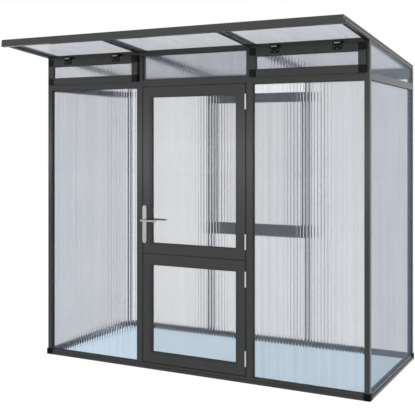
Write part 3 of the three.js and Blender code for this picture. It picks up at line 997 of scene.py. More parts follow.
@dataclass
class Ring:
    """Four mitred bars round an opening, in the plane of X and Z."""

    name: str
    low: Vector
    high: Vector
    side: float
    bottom: float
    top: float
    bead: float = 0.0
    bead_step: float = 0.0
    edge: float = 0.0005
    left_cuts: tuple[bpy.types.Object, ...] = ()

    def build(self, level: bpy.types.Material, upright: bpy.types.Material) -> bpy.types.Object:
        """Models the ring.

        Args:
            level: The finish of its top and bottom bars.
            upright: The finish of its two sides.

        Returns:
            The ring as one piece.
        """
        low, high = self.low, self.high
        inner_low = Vector((low.x + self.side, 0, low.z + self.bottom))
        inner_high = Vector((high.x - self.side, 0, high.z - self.top))
        outer_ends = [(low.x, low.z), (high.x, low.z), (high.x, high.z), (low.x, high.z)]
        inner_ends = [(inner_low.x, inner_low.z), (inner_high.x, inner_low.z),
                      (inner_high.x, inner_high.z), (inner_low.x, inner_high.z)]
        bars = []
        for turn, finish in enumerate((level, upright, level, upright)):
            ends = (turn, (turn + 1) % 4)
            corners = [outer_ends[i] for i in ends] + [inner_ends[i] for i in ends]
            bar = self._bar(turn, corners)
            middle = sum((Vector((x, 0, z)) for x, z in corners), Vector()) / 4
            for i in ends:
                start = Vector((outer_ends[i][0], 0, outer_ends[i][1]))
                diagonal = Vector((inner_ends[i][0], 0, inner_ends[i][1])) - start
                normal = Vector((diagonal.z, 0, -diagonal.x)).normalized()
                if normal.dot(middle - start) > 0:
                    normal = -normal
                Bench.cut_off(bar, start, normal)
            bar.data.materials.clear()
            bar.data.materials.append(finish)
            Bench.soften(bar, self.edge)
            bars.append(bar)
        return Bench.join(self.name, bars)

    def _bar(self, turn: int, corners: list[tuple[float, float]]) -> bpy.types.Object:
        """One bar before its mitres are cut, with its glazing bead towards the opening.

        Args:
            turn: Which bar: 0 the bottom one, then round by way of the right side.
            corners: The X and Z of its four corners.

        Returns:
            The bar.
        """
        bar_low = Vector((min(x for x, _ in corners), self.low.y, min(z for _, z in corners)))
        bar_high = Vector((max(x for x, _ in corners), self.high.y, max(z for _, z in corners)))
        if not self.bead:
            return Bench.block(self.name, bar_low, bar_high)
        body_low, body_high = bar_low.copy(), bar_high.copy()
        bead_low, bead_high = bar_low.copy(), bar_high.copy()
        axis = 2 if turn in (0, 2) else 0
        if turn in (0, 3):
            body_high[axis] -= self.bead
            bead_low[axis] = body_high[axis] - MM
        else:
            body_low[axis] += self.bead
            bead_high[axis] = body_low[axis] + MM
        bead_low.y += self.bead_step
        bead_high.y -= self.bead_step
        body = Bench.block(self.name, body_low, body_high)
        for tool in self.left_cuts if turn == 3 else ():
            Bench.carve(body, tool)
        return Bench.join(self.name, [body, Bench.block(self.name, bead_low, bead_high)])


class Wall(Enum):
    """The plane that a framed pane lies in."""

    FACING = "facing"
    SIDE = "side"
    ROOF = "roof"


@dataclass
class Seal:
    """The rubber seals between a pane and its frame, one ring on each face."""

    node: str
    wall: Wall
    body: Body = Body.HOUSE
    width: float = 0.0025
    narrow: float = 0.0015
    proud: float = 0.0025
    edge: float = 0.0004

    def build(self, finishes: Finishes, roof: RoofPlane) -> bpy.types.Object:
        """Models both rings of the seal as one piece.

        Args:
            finishes: Every finish.
            roof: The roof's slope.

        Returns:
            The seal.
        """
        matrix = Matrix()
        low, high = roof.box(self.node) if self.wall is Wall.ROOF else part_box(self.node)
        if self.wall is Wall.SIDE:
            low, high = side_place(low, high)
            low, high = Vector((low.y, -high.x, low.z)), Vector((high.y, -low.x, high.z))
            matrix = Matrix.Rotation(math.pi / 2, 4, "Z")
        elif self.wall is Wall.ROOF:
            low, high = Vector((low.x, -high.z, low.y)), Vector((high.x, -low.z, high.y))
            matrix = roof.matrix @ Matrix.Rotation(-math.pi / 2, 4, "X")
        shrink = Vector((HIDDEN_EDGE, 0, HIDDEN_EDGE))
        rings = []
        width = self.width if self.wall is Wall.FACING else self.narrow
        for start, end in ((low.y - self.proud, low.y), (high.y, high.y + self.proud)):
            ring_low, ring_high = low + shrink, high - shrink
            ring_low.y, ring_high.y = start, end
            ring = Ring(f"{self.node}_seal", ring_low, ring_high, width, width, width,
                        edge=self.edge)
            rings.append(ring.build(finishes.rubber, finishes.rubber))
        seal = Bench.join(f"{self.node}_seal", rings)
        Bench.settle(seal, matrix)
        return finish_piece(seal, self.body)


@dataclass
class DoorLeaf:
    """A leaf of the stable door: its mitred frame, pane and seals."""

    body: Body
    bottom_rail: float
    stile: float = 0.074
    top_rail: float = 0.075
    thickness: float = 0.030
    left: float = -0.403
    right: float = 0.403
    front: float = -0.308
    bead: float = 0.011
    bead_step: float = 0.0035
    lip_lap: float = 0.0022
    lip_proud: float = 0.0004
    lip_depth: float = 0.0035
    lip_left: float = 0.0026
    lip_right: float = 0.0019
    lip_end: float = 0.0029
    lip_edge: float = 0.0005
    rib_depth: float = 0.0013
    spindle_at: tuple[float, float] = (-0.386, 1.054)
    spindle_bore: float = 0.0070
    latch_travel: float = 0.0100
    latch_room: float = 0.0003

    def build(self, finishes: Finishes, roof: RoofPlane) -> None:
        """Models the leaf in place of its CAD frame.

        Args:
            finishes: Every finish.
            roof: The roof's slope.
        """
        name = self.body.value
        box_low, box_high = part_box(f"{name}_frame")
        low = Vector((self.left, self.front, box_low.z))
        high = Vector((self.right, self.front + self.thickness, box_high.z))
        ring = Ring(f"{name}_bars", low, high, self.stile, self.bottom_rail, self.top_rail,
                    self.bead, self.bead_step, left_cuts=self._lock_cuts())
        bars = ring.build(finishes.coat[Run.X], finishes.coat[Run.Z])
        finish_piece(bars, self.body, stands_for=(f"{name}_frame",))
        TwinWallSheet(f"{name}_pane", Run.Y, Run.Z, self.body, Slot.CLEAR,
                      rib_depth=self.rib_depth).build(finishes.clear, finishes.web, roof)
        Seal(f"{name}_pane", Wall.FACING, self.body).build(finishes, roof)
        self._seals_and_gap_shade(finishes, low, high)

    def _lock_cuts(self) -> tuple[bpy.types.Object, ...]:
        """The spindle's bore and the latch bolt's pocket, which only the upper leaf has.

        Returns:
            The tools to carve with.
        """
        if self.body is not Body.UPPER_LEAF:
            return ()
        x, z = self.spindle_at
        bore = Bench.rod("bore", self.spindle_bore, (x, self.front - MM, z),
                         self.thickness + 2 * MM, Run.Y)
        latch_low, latch_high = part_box("latch_bolt")
        room = Vector((self.latch_room,) * 3)
        travel = Vector((self.latch_travel, 0, 0))
        return bore, Bench.block("pocket", latch_low - room, latch_high + room + travel)

    def _seals_and_gap_shade(self, finishes: Finishes, low: Vector, high: Vector) -> None:
        """The black lips that lie over the gaps round the leaf and lap over its front face: seals,
        whose black also stands as painted shade in the gaps.

        Args:
            finishes: Every finish.
            low: The leaf's lowest corner.
            high: Its highest corner.
        """
        front, back, lap = self.front - self.lip_proud, self.front + self.lip_depth, self.lip_lap
        left, right = low.x - self.lip_left, high.x + self.lip_right
        bottom = low.z - self.lip_end
        top = high.z + (self.lip_end if self.body is Body.UPPER_LEAF else 0.0)
        spans = {
            "left": ((left, bottom), (low.x + lap, top)),
            "right": ((high.x - lap, bottom), (right, top)),
            "bottom": ((low.x + lap, bottom), (high.x - lap, low.z + lap)),
        }
        if self.body is Body.UPPER_LEAF:
            spans["top"] = ((low.x + lap, high.z - lap), (high.x - lap, top))
        lips = []
        for place, (start, end) in spans.items():
            lip = Bench.block(place, (start[0], front, start[1]), (end[0], back, end[1]))
            Bench.soften(lip, self.lip_edge)
            lips.append(lip)
        lips = Bench.join(f"{self.body.value}_edge_seal", lips)
        # the lips are seals, and their black also stands as painted shade in the gaps
        finish_piece(lips, self.body, finishes.nylon)


@dataclass
class BackWindow:
    """The fixed window in the back wall."""

    stile: float = 0.036
    top_rail: float = 0.073
    bottom_rail: float = 0.091
    bead: float = 0.010
    bead_step: float = 0.004

    def build(self, finishes: Finishes, roof: RoofPlane) -> None:
        """Models the window in place of its CAD frame.

        Args:
            finishes: Every finish.
            roof: The roof's slope.
        """
        low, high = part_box("back_window_frame")
        ring = Ring("back_window_bars", low, high, self.stile, self.bottom_rail, self.top_rail,
                    self.bead, self.bead_step)
        bars = ring.build(finishes.coat[Run.X], finishes.coat[Run.Z])
        finish_piece(bars, Body.HOUSE, stands_for=("back_window_frame",))
        TwinWallSheet("back_window_pane", Run.Y, Run.Z, slot=Slot.CLEAR, ribbed=False).build(
            finishes.opal, finishes.web, roof)
        Seal("back_window_pane", Wall.FACING).build(finishes, roof)


@dataclass
class Vent:
    """A top-hung vent: four bars between black corner blocks, its pane, and its hinges' straps."""

    side: str
    body: Body
    profile: float = 0.047
    top_profile: float = 0.053
    top_drop: float = 0.008
    edge: float = 0.0012
    block_proud: float = 0.0012
    block_gap: float = 0.0004
    block_border: float = 0.006
    block_boss: float = 0.0009
    front: float = -0.3283
    back: float = -0.3083
    pivot: tuple[float, float] = (-0.3343, 2.236)
    strap_half: float = 0.032
    strap_start: float = 0.009
    strap_drop: float = 0.046
    strap_near: float = 0.002
    strap_far: float = 0.006
    strap_corner: float = 0.008
    strap_edge: float = 0.0008
    neck_drop: float = 0.012
    knuckle_radius: float = 0.0065
    knuckle_half: float = 0.0157
    # a bright steel strip as painted highlight on the black knuckle
    highlight_strip: Triple = (0.040, 0.0014, 0.0060)
    highlight_strip_drop: float = 0.0065
    highlight_strip_gap: float = 0.0004
    highlight_strip_edge: float = 0.0006
    highlight_strip_ratio: float = 2.2
    screw_radius: float = 0.0024
    screw_head: float = 0.0016
    screw_proud: float = 0.0014
    screw_rim: float = 0.0014
    screw_dish: float = 0.0007
    screw_edge: float = 0.0004
    screw_places: tuple[tuple[float, float], ...] = (
        (-0.022, -0.026), (0.022, -0.026), (0.0, -0.038))

    def build(self, finishes: Finishes, roof: RoofPlane) -> None:
        """Models the vent in place of its CAD frame and pane.

        Args:
            finishes: Every finish.
            roof: The roof's slope.
        """
        node_low, node_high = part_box(f"vent_frame_{self.side}")
        low = Vector((node_low.x, self.front, node_low.z))
        high = Vector((node_high.x, self.back, self.pivot[1] - self.top_drop))
        self._bars(finishes, low, high)
        self._blocks(finishes, low, high)
        TwinWallSheet(f"vent_pane_{self.side}", Run.Y, Run.Z, self.body).build(
            finishes.skin, finishes.web, roof)
        Seal(f"vent_pane_{self.side}", Wall.FACING, self.body).build(finishes, roof)
        for number in (1, 2):
            hinge_low, hinge_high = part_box(f"vent_hinge_{self.side}_{number}")
            self._strap(finishes, number, (hinge_low.x + hinge_high.x) / 2)

    def _bars(self, finishes: Finishes, low: Vector, high: Vector) -> None:
        """The four bars, cut square at the corner blocks.

        Args:
            finishes: Every finish.
            low: The vent's lowest corner.
            high: Its highest corner.
        """
        inset = self.profile + self.block_gap
        spans = {
            "bottom": (Vector((low.x + inset, low.y, low.z)),
                       Vector((high.x - inset, high.y, low.z + self.profile)), Run.X),
            "top": (Vector((low.x + inset, low.y, high.z - self.top_profile)),
                    Vector((high.x - inset, high.y, high.z)), Run.X),
            "left": (Vector((low.x, low.y, low.z + inset)),
                     Vector((low.x + self.profile, high.y, high.z - inset)), Run.Z),
            "right": (Vector((high.x - self.profile, low.y, low.z + inset)),
                      Vector((high.x, high.y, high.z - inset)), Run.Z),
        }
        bars = []
        for place, (bar_low, bar_high, run) in spans.items():
            bar = Bench.block(place, bar_low, bar_high)
            bar.data.materials.append(finishes.coat[run])
            Bench.soften(bar, self.edge)
            bars.append(bar)
        bars = Bench.join(f"vent_bars_{self.side}", bars)
        finish_piece(bars, self.body, stands_for=(f"vent_frame_{self.side}",))

    def _blocks(self, finishes: Finishes, low: Vector, high: Vector) -> None:
        """The moulded corner block at each corner, modelled once and copied.

        Args:
            finishes: Every finish.
            low: The vent's lowest corner.
            high: Its highest corner.
        """
        size = self.profile
        first = Bench.block("corner", (low.x, low.y - self.block_proud, low.z),
                            (low.x + size, high.y, low.z + size))
        Bench.push_face(first, (0, -1, 0), self.block_border, self.block_boss)
        Bench.soften(first, self.edge, segments=3)
        moves = [(across, up) for across in (0.0, high.x - low.x - size)
                 for up in (0.0, high.z - low.z - size)]
        for number, (across, up) in enumerate(moves, 1):
            block = Bench.copy(first, f"vent_corner_{self.side}_{number}", Vector((across, 0, up)))
            finish_piece(block, self.body, finishes.nylon)
        bpy.data.objects.remove(first)

    def _strap(self, finishes: Finishes, number: int, x: float) -> None:
        """The hinge's half on the vent: knuckle, strap, a bright strip as painted highlight on the
        knuckle, and screws.

        Args:
            finishes: Every finish.
            number: The hinge's number.
            x: The X of its middle.
        """
        y, z = self.pivot
        near, far = y + self.strap_near, y + self.strap_far
        plate = Bench.block("plate", (x - self.strap_half, near, z - self.strap_drop),
                            (x + self.strap_half, far, z - self.strap_start))
        Bench.round_edges(plate, Run.Y, self.strap_corner, segments=5, near=z - self.strap_drop)
        neck = Bench.block("neck", (x - self.knuckle_half, near, z - self.neck_drop),
                           (x + self.knuckle_half, far, z))
        knuckle = Bench.rod("knuckle", self.knuckle_radius, (x - self.knuckle_half, y, z),
                            2 * self.knuckle_half, Run.X)
        for part in (plate, neck, knuckle):
            Bench.soften(part, self.strap_edge)
        strap = Bench.join(f"vent_strap_{self.side}_{number}", [plate, neck, knuckle])
        finish_piece(strap, self.body, finishes.nylon)
        # painted highlight: a bright steel strip stands where the black knuckle shows its highlight
        width, depth, height = self.highlight_strip
        front = y - self.knuckle_radius - self.highlight_strip_gap
        highlight_strip = Bench.block(f"vent_strap_cover_{self.side}_{number}",
                            (x - width / 2, front - depth, z - self.highlight_strip_drop),
                            (x + width / 2, front, z - self.highlight_strip_drop + height))
        Bench.round_edges(highlight_strip, Run.Y, height / self.highlight_strip_ratio, segments=5)
        Bench.soften(highlight_strip, self.highlight_strip_edge)
        finish_piece(highlight_strip, self.body, finishes.steel[Run.X])
        for place, (across, down) in enumerate(self.screw_places, 1):
            screw = Bench.rod(f"vent_screw_{self.side}_{number}_{place}", self.screw_radius,
                              (x + across, near - self.screw_proud, z + down), self.screw_head,
                              Run.Y, sides=20)
            Bench.push_face(screw, (0, -1, 0), self.screw_rim, -self.screw_dish)
            Bench.soften(screw, self.screw_edge)
            finish_piece(screw, self.body, finishes.steel[Run.X])


@dataclass
class DoorHinge:
    """A lift-off hinge: the post's knuckle and washer below, the leaf's knuckle above."""

    number: int
    body: Body
    x: float = 0.405
    y: float = -0.315
    radius: float = 0.0065
    knuckle: float = 0.0517
    gap: float = 0.0006
    plate: float = 0.0015
    plate_depth: float = 0.025
    leaf_edge: float = 0.403
    post_face: float = 0.407
    post_gap: float = 0.0003
    plate_end: float = 0.002
    plate_edge: float = 0.0003
    end_rim: float = 0.0022
    end_dish: float = 0.0005
    end_edge: float = 0.0011
    washer_share: float = 0.93
    washer_sink: float = 0.0004
    washer_height: float = 0.0006

    def build(self, finishes: Finishes) -> None:
        """Models both halves, the lower one in place of its CAD node.

        Args:
            finishes: Every finish.
        """
        node = f"door_hinge_{self.number}"
        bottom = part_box(node)[0].z
        lower = self._half("post", bottom, self.post_face - self.plate - self.post_gap)
        washer = Bench.rod("washer", self.radius * self.washer_share,
                           (self.x, self.y, bottom + self.knuckle - self.washer_sink),
                           self.washer_height, Run.Z)
        lower = Bench.join(f"{node}_post_half", [lower, washer])
        finish_piece(lower, Body.HOUSE, finishes.bright_steel, stands_for=(node,))
        upper = self._half("leaf", bottom + self.knuckle + self.gap, self.leaf_edge)
        upper.name = f"{node}_leaf_half"
        finish_piece(upper, self.body, finishes.bright_steel)

    def _half(self, name: str, bottom: float, plate_x: float) -> bpy.types.Object:
        """A knuckle with turned ends and its plate in the gap between leaf and post.

        Args:
            name: The half's name.
            bottom: The Z of its lower end.
            plate_x: The X of its plate's left face.

        Returns:
            The half.
        """
        barrel = Bench.rod(name, self.radius, (self.x, self.y, bottom), self.knuckle, Run.Z,
                           sides=40)
        Bench.push_face(barrel, (0, 0, 1), self.end_rim, -self.end_dish)
        Bench.soften(barrel, self.end_edge, segments=3)
        plate = Bench.block(name, (plate_x, self.y, bottom + self.plate_end),
                            (plate_x + self.plate, self.y + self.plate_depth,
                             bottom + self.knuckle - self.plate_end))
        Bench.soften(plate, self.plate_edge)
        return Bench.join(name, [barrel, plate])


@dataclass
class HandleSet:
    """The long plates, levers, key cylinder, latch and lock strips of the upper leaf."""

    x: float = -0.386
    z: float = 1.054
    plate_low: float = 0.890
    plate_high: float = 1.160
    plate_thickness: float = 0.008
    plate_widths: tuple[float, float] = (0.034, 0.022)
    plate_edge: float = 0.0022
    round_gap: float = 0.0002
    outer_back: float = -0.3083
    inner_back: float = -0.2777
    collar_radius: float = 0.0115
    collar_height: float = 0.0022
    inner_collar_share: float = 0.93
    neck_radius: float = 0.0080
    neck_room: float = 0.0003
    neck_edge: float = 0.0012
    bore_half: float = 0.012
    lever_tip: float = 0.128
    lever_height: float = 0.013
    lever_thickness: float = 0.010
    lever_edge: float = 0.0034
    spindle_half: float = 0.004
    spindle_reach: float = 0.0300
    cylinder_drop: float = 0.114
    cylinder_radius: float = 0.0085
    cylinder_height: float = 0.0020
    rim_radius: float = 0.0098
    rim_height: float = 0.0007
    slot_half: tuple[float, float] = (0.0010, 0.0050)
    slot_depth: float = 0.0002
    slot_corner: float = 0.0008
    screw_inset: float = 0.014
    screw_radius: float = 0.0036
    screw_height: float = 0.0008
    screw_rim: float = 0.0016
    screw_dish: float = 0.0005
    disc_sink: float = 0.0005
    disc_edge: float = 0.0008
    disc_edge_share: float = 0.4
    turned_sides: int = 36
    lock_strip_x: tuple[float, float] = (-0.4035, -0.4028)
    strike_plate_x: tuple[float, float] = (-0.4072, -0.4065)
    strip_low: tuple[float, float] = (-0.3040, 0.985)
    strip_high: tuple[float, float] = (-0.2820, 1.185)
    strip_corner: float = 0.0100
    hole_margin: float = 0.0006

    def build(self, finishes: Finishes) -> None:
        """Models the whole set.

        Args:
            finishes: Every finish.
        """
        outer, inner = self.plate_widths
        for side, width, wall, outwards in (("outer", outer, self.outer_back, -1),
                                            ("inner", inner, self.inner_back, 1)):
            self._plate(finishes, side, width, wall, outwards)
            self._lever(finishes, side, wall, outwards)
        self._lock_strips(finishes)
        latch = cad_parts["latch_bolt"]
        latch.data.materials.clear()
        latch.data.materials.append(finishes.steel[Run.X])
        LOG.info("latch_bolt dressed")

    def _plate(self, finishes: Finishes, side: str, width: float, wall: float,
               outwards: int) -> None:
        """A long plate with round ends, its screws, and the key cylinder low on it.

        Args:
            finishes: Every finish.
            side: The face of the leaf, outer or inner.
            width: The plate's width.
            wall: The Y of its back.
            outwards: 1 towards the house's back, or -1 towards its front.
        """
        face = wall + outwards * self.plate_thickness
        plate = Bench.block("plate", (self.x - width / 2, min(wall, face), self.plate_low),
                            (self.x + width / 2, max(wall, face), self.plate_high))
        Bench.round_edges(plate, Run.Y, width / 2 - self.round_gap, segments=10)
        Bench.soften(plate, self.plate_edge, segments=4)
        share = self.inner_collar_share if side == "inner" else 1.0
        collar = self._disc("collar", self.collar_radius * share, self.z, face, outwards,
                            self.collar_height)
        for part in (plate, collar):
            bore = Bench.rod("bore", self.neck_radius + self.neck_room,
                             (self.x, wall - self.bore_half, self.z), 2 * self.bore_half, Run.Y,
                             self.turned_sides)
            Bench.carve(part, bore)
        key_z = self.z - self.cylinder_drop
        cylinder = self._disc("cylinder", self.cylinder_radius, key_z, face, outwards,
                              self.cylinder_height)
        rim = self._disc("rim", self.rim_radius, key_z, face, outwards, self.rim_height)
        plate = Bench.join(f"handle_plate_{side}_shaped", [plate, collar, cylinder, rim])
        # the inner plate takes the steel darkened as painted shade
        steel = finishes.steel if side == "outer" else finishes.shaded_inner_steel
        finish_piece(plate, Body.UPPER_LEAF, steel[Run.Z], (f"handle_plate_{side}",))
        slot_back = face + outwards * self.cylinder_height
        slot_y = sorted((slot_back, slot_back + outwards * self.slot_depth))
        across, up = self.slot_half
        slot = Bench.block(f"key_slot_{side}", (self.x - across, slot_y[0], key_z - up),
                           (self.x + across, slot_y[1], key_z + up))
        Bench.round_edges(slot, Run.Y, self.slot_corner, segments=3)
        finish_piece(slot, Body.UPPER_LEAF, finishes.nylon)
        for place, height in (("low", self.plate_low + self.screw_inset),
                              ("high", self.plate_high - self.screw_inset)):
            screw = self._disc(f"handle_screw_{side}_{place}", self.screw_radius, height, face,
                               outwards, self.screw_height)
            Bench.push_face(screw, (0, outwards, 0), self.screw_rim, -self.screw_dish)
            finish_piece(screw, Body.UPPER_LEAF, finishes.steel[Run.X])

    def _disc(self, name: str, radius: float, z: float, face: float, outwards: int,
              height: float) -> bpy.types.Object:
        """A turned disc that stands on a plate's face.

        Args:
            name: The disc's name.
            radius: Its radius.
            z: The Z of its middle.
            face: The Y of the plate's face.
            outwards: 1 towards the house's back, or -1 towards its front.
            height: How far it stands out.

        Returns:
            The disc.
        """
        start = face - self.disc_sink if outwards > 0 else face - height
        disc = Bench.rod(name, radius, (self.x, start, z), height + self.disc_sink, Run.Y,
                         self.turned_sides)
        Bench.soften(disc, min(height * self.disc_edge_share, self.disc_edge), segments=3)
        return disc

    def _lever(self, finishes: Finishes, side: str, wall: float, outwards: int) -> None:
        """A lever with a turned neck, a rounded grip and a square spindle.

        Args:
            finishes: Every finish.
            side: The face of the leaf, outer or inner.
            wall: The Y of the plate's back.
            outwards: 1 towards the house's back, or -1 towards its front.
        """
        low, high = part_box(f"lever_{side}")
        outer_y = low.y if outwards < 0 else high.y
        grip_back = outer_y - outwards * self.lever_thickness
        half = self.lever_height / 2
        near, far = sorted((outer_y, grip_back))
        grip = Bench.block("grip", (self.x - self.neck_radius, near, self.z - half),
                           (self.x + self.lever_tip, far, self.z + half))
        Bench.round_edges(grip, Run.Y, half - self.round_gap, segments=8)
        Bench.soften(grip, self.lever_edge, segments=5)
        start = wall + outwards * self.plate_thickness / 4
        neck_low, neck_high = sorted((start, (outer_y + grip_back) / 2))
        neck = Bench.rod("neck", self.neck_radius, (self.x, neck_low, self.z),
                         neck_high - neck_low, Run.Y, self.turned_sides)
        Bench.soften(neck, self.neck_edge, segments=3)
        parts = [grip, neck]
        if outwards < 0:
            thick = self.spindle_half
            end = self.inner_back + self.spindle_reach
            parts.append(Bench.block("spindle", (self.x - thick, neck_low, self.z - thick),
                                     (self.x + thick, end, self.z + thick)))
        lever = Bench.join(f"lever_{side}_shaped", parts)
        # the inner lever takes the steel darkened as painted shade
        steel = finishes.steel if side == "outer" else finishes.shaded_inner_steel
        finish_piece(lever, Body.LEVERS, steel[Run.X], (f"lever_{side}",))

    def _lock_strips(self, finishes: Finishes) -> None:
        """The strip on the leaf's edge and the strike plate on the post, with the bolt's hole.

        Args:
            finishes: Every finish.
        """
        latch_low, latch_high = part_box("latch_bolt")
        margin = self.hole_margin
        for name, body, (x_low, x_high) in (("lock_strip", Body.UPPER_LEAF, self.lock_strip_x),
                                            ("strike_plate", Body.HOUSE, self.strike_plate_x)):
            strip = Bench.block(name, (x_low, *self.strip_low), (x_high, *self.strip_high))
            Bench.round_edges(strip, Run.X, self.strip_corner, segments=8)
            hole = Bench.block("hole", (x_low - MM, latch_low.y - margin, latch_low.z - margin),
                               (x_high + MM, latch_high.y + margin, latch_high.z + margin))
            Bench.carve(strip, hole)
            finish_piece(strip, body, finishes.steel[Run.Z])


@dataclass
class BaseCaps:
    """The black moulded caps at the base's four corners."""

    reach_x: float = 1.2569
    inner_x: float = 1.2110
    front: float = -0.3160
    back: float = 0.8290
    depth: float = 0.0420
    height: float = 0.042
    corner: float = 0.003
    edge: float = 0.0012

    def build(self, finishes: Finishes) -> None:
        """Models one cap at each corner.

        Args:
            finishes: Every finish.
        """
        for side, sign in (("left", -1), ("right", 1)):
            for wall, low_y, high_y in (("front", self.front, self.front + self.depth),
                                        ("back", self.back - self.depth, self.back)):
                near, far = sorted((sign * self.inner_x, sign * self.reach_x))
                cap = Bench.block(f"base_cap_{wall}_{side}", (near, low_y, 0.0),
                                  (far, high_y, self.height))
                Bench.round_edges(cap, Run.Z, self.corner, segments=4)
                Bench.soften(cap, self.edge, segments=3)
                finish_piece(cap, Body.HOUSE, finishes.cap)


@dataclass
class MiddleRafter:
    """A rafter between two roof panes, with a low cap, shallower out in the canopy."""

    side: str
    top: float = -0.0090
    canopy_bottom: float = -0.0365
    pane_groove: tuple[float, float] = (-0.0223, -0.0117)
    groove_depth: float = 0.0070
    under_depth: float = 0.0050
    under_share: float = 0.30
    wall: float = -0.308
    edge: float = 0.0006

    def build(self, finishes: Finishes, roof: RoofPlane) -> None:
        """Models the rafter in place of its CAD bar.

        Args:
            finishes: Every finish.
            roof: The roof's slope.
        """
        node = f"rafter_middle_{self.side}"
        low, high = roof.box(node)
        wall = roof.along(self.wall, -self.canopy_bottom)
        bar = Bench.block(f"{node}_bar", (low.x, low.y, self.canopy_bottom),
                          (high.x, high.y, self.top))
        bottom, top = self.pane_groove
        for near, far in ((low.x - MM, low.x + self.groove_depth),
                          (high.x - self.groove_depth, high.x + MM)):
            Bench.carve(bar, Bench.block("groove", (near, low.y - MM, bottom),
                                         (far, high.y + MM, top)))
        inset = (high.x - low.x) * self.under_share
        Bench.carve(bar, Bench.block("groove", (low.x + inset, low.y - MM, low.z),
                                     (high.x - inset, wall, self.canopy_bottom + self.under_depth)))
        lower = Bench.block(f"{node}_lower", (low.x, wall, low.z),
                            (high.x, high.y, self.canopy_bottom))
        for part in (bar, lower):
            Bench.soften(part, self.edge)
        bar = Bench.join(f"{node}_bar", [bar, lower])
        Bench.settle(bar, roof.matrix)
        trim_back(bar)
        finish_piece(bar, Body.HOUSE, finishes.coat[Run.Y], (node,))


@dataclass
class OuterRafter:
    """An outer rafter with a grooved face, shallower out in the canopy than over the wall."""

    side: str
    inner_x: float = 1.215
    outer_x: float = 1.250
    step_x: float = 1.2355
    face_height: float = 0.038
    strip_bottom: float = -0.043
    grooves: tuple[Triple, ...] = ((-0.0150, -0.0100, 0.0050), (-0.0350, -0.0300, 0.0045))
    pane_groove: tuple[float, float] = (-0.0223, -0.0117)
    groove_depth: float = 0.0070
    inner_top: float = -0.0090
    under_groove: Triple = (1.2225, 1.2400, 0.0070)
    under_end: float = 0.003
    post_front: tuple[float, float] = (-0.308, -0.273)
    post_back: tuple[float, float] = (0.795, 0.832)
    face_edge: float = 0.0006
    foot_edge: float = 0.0004

    def build(self, finishes: Finishes, roof: RoofPlane) -> None:
        """Models the rafter in place of its CAD bar.

        Args:
            finishes: Every finish.
            roof: The roof's slope.
        """
        node = f"rafter_outer_{self.side}"
        low, high = roof.box(node)
        face_bottom = -self.face_height
        start, end = low.y, high.y
        wall = roof.along(self.post_front[0], self.face_height)
        inner, outer = self.inner_x, self.outer_x
        face = self._bar(inner, outer, start, end, face_bottom, 0.0)
        cuts = [(outer - depth, outer + MM, bottom, top) for bottom, top, depth in self.grooves]
        cuts.append((inner - MM, inner + self.groove_depth, *self.pane_groove))
        cuts.append((inner - MM, self.step_x, self.inner_top, MM))
        for near, far, bottom, top in cuts:
            Bench.carve(face, self._bar(near, far, start - MM, end + MM, bottom, top))
        near, far, depth = self.under_groove
        Bench.carve(face, self._bar(near, far, start + self.under_end, wall - self.under_end,
                                    face_bottom - MM, face_bottom + depth))
        Bench.soften(face, self.face_edge)
        strip = self._bar(inner, self.step_x, wall, end, self.strip_bottom, face_bottom)
        feet = [self._bar(inner, outer, roof.along(near, self.face_height),
                          roof.along(far, self.face_height), low.z, face_bottom)
                for near, far in (self.post_front, self.post_back)]
        for part in (strip, *feet):
            Bench.soften(part, self.foot_edge)
        parts = [face, strip, *feet]
        for part in parts:
            Bench.settle(part, roof.matrix)
            trim_back(part)
        rafter = Bench.join(f"{node}_bar", parts)
        finish_piece(rafter, Body.HOUSE, finishes.coat[Run.Y], (node,))

    def _bar(self, near: float, far: float, start: float, end: float, low: float,
             high: float) -> bpy.types.Object:
        """A block along the rafter, between two distances from the house's middle.

        Args:
            near: The first distance.
            far: The second one.
            start: Where it starts along the slope.
            end: Where it ends.
            low: Its bottom, from the roof's top.
            high: Its top.

        Returns:
            The block.
        """
        sign = 1 if self.side == "right" else -1
        near, far = sorted((sign * near, sign * far))
        return Bench.block("rafter", (near, start, low), (far, end, high))


@dataclass
class SideRailRibs:
    """The ribs along a side rail's outer face."""

    side: str
    face_x: float = 1.250
    ribs: tuple[Triple, ...] = (
        (0.0380, 0.0460, 0.0018), (0.0, 0.0070, 0.0018), (0.0215, 0.0235, 0.0012))

    def build(self, finishes: Finishes) -> None:
        """Models the ribs.

        Args:
            finishes: Every finish.
        """
        low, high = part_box(f"side_rail_{self.side}")
        sign = 1 if self.side == "right" else -1
        made = []
        for start, end, proud in self.ribs:
            near, far = sorted((sign * (self.face_x - MM), sign * (self.face_x + proud)))
            rib = Bench.block("rib", (near, low.y, low.z + start), (far, high.y, low.z + end))
            Bench.soften(rib, proud / 3)
            made.append(rib)
        ribs = Bench.join(f"side_rail_ribs_{self.side}", made)
        finish_piece(ribs, Body.HOUSE, finishes.coat[Run.Y])


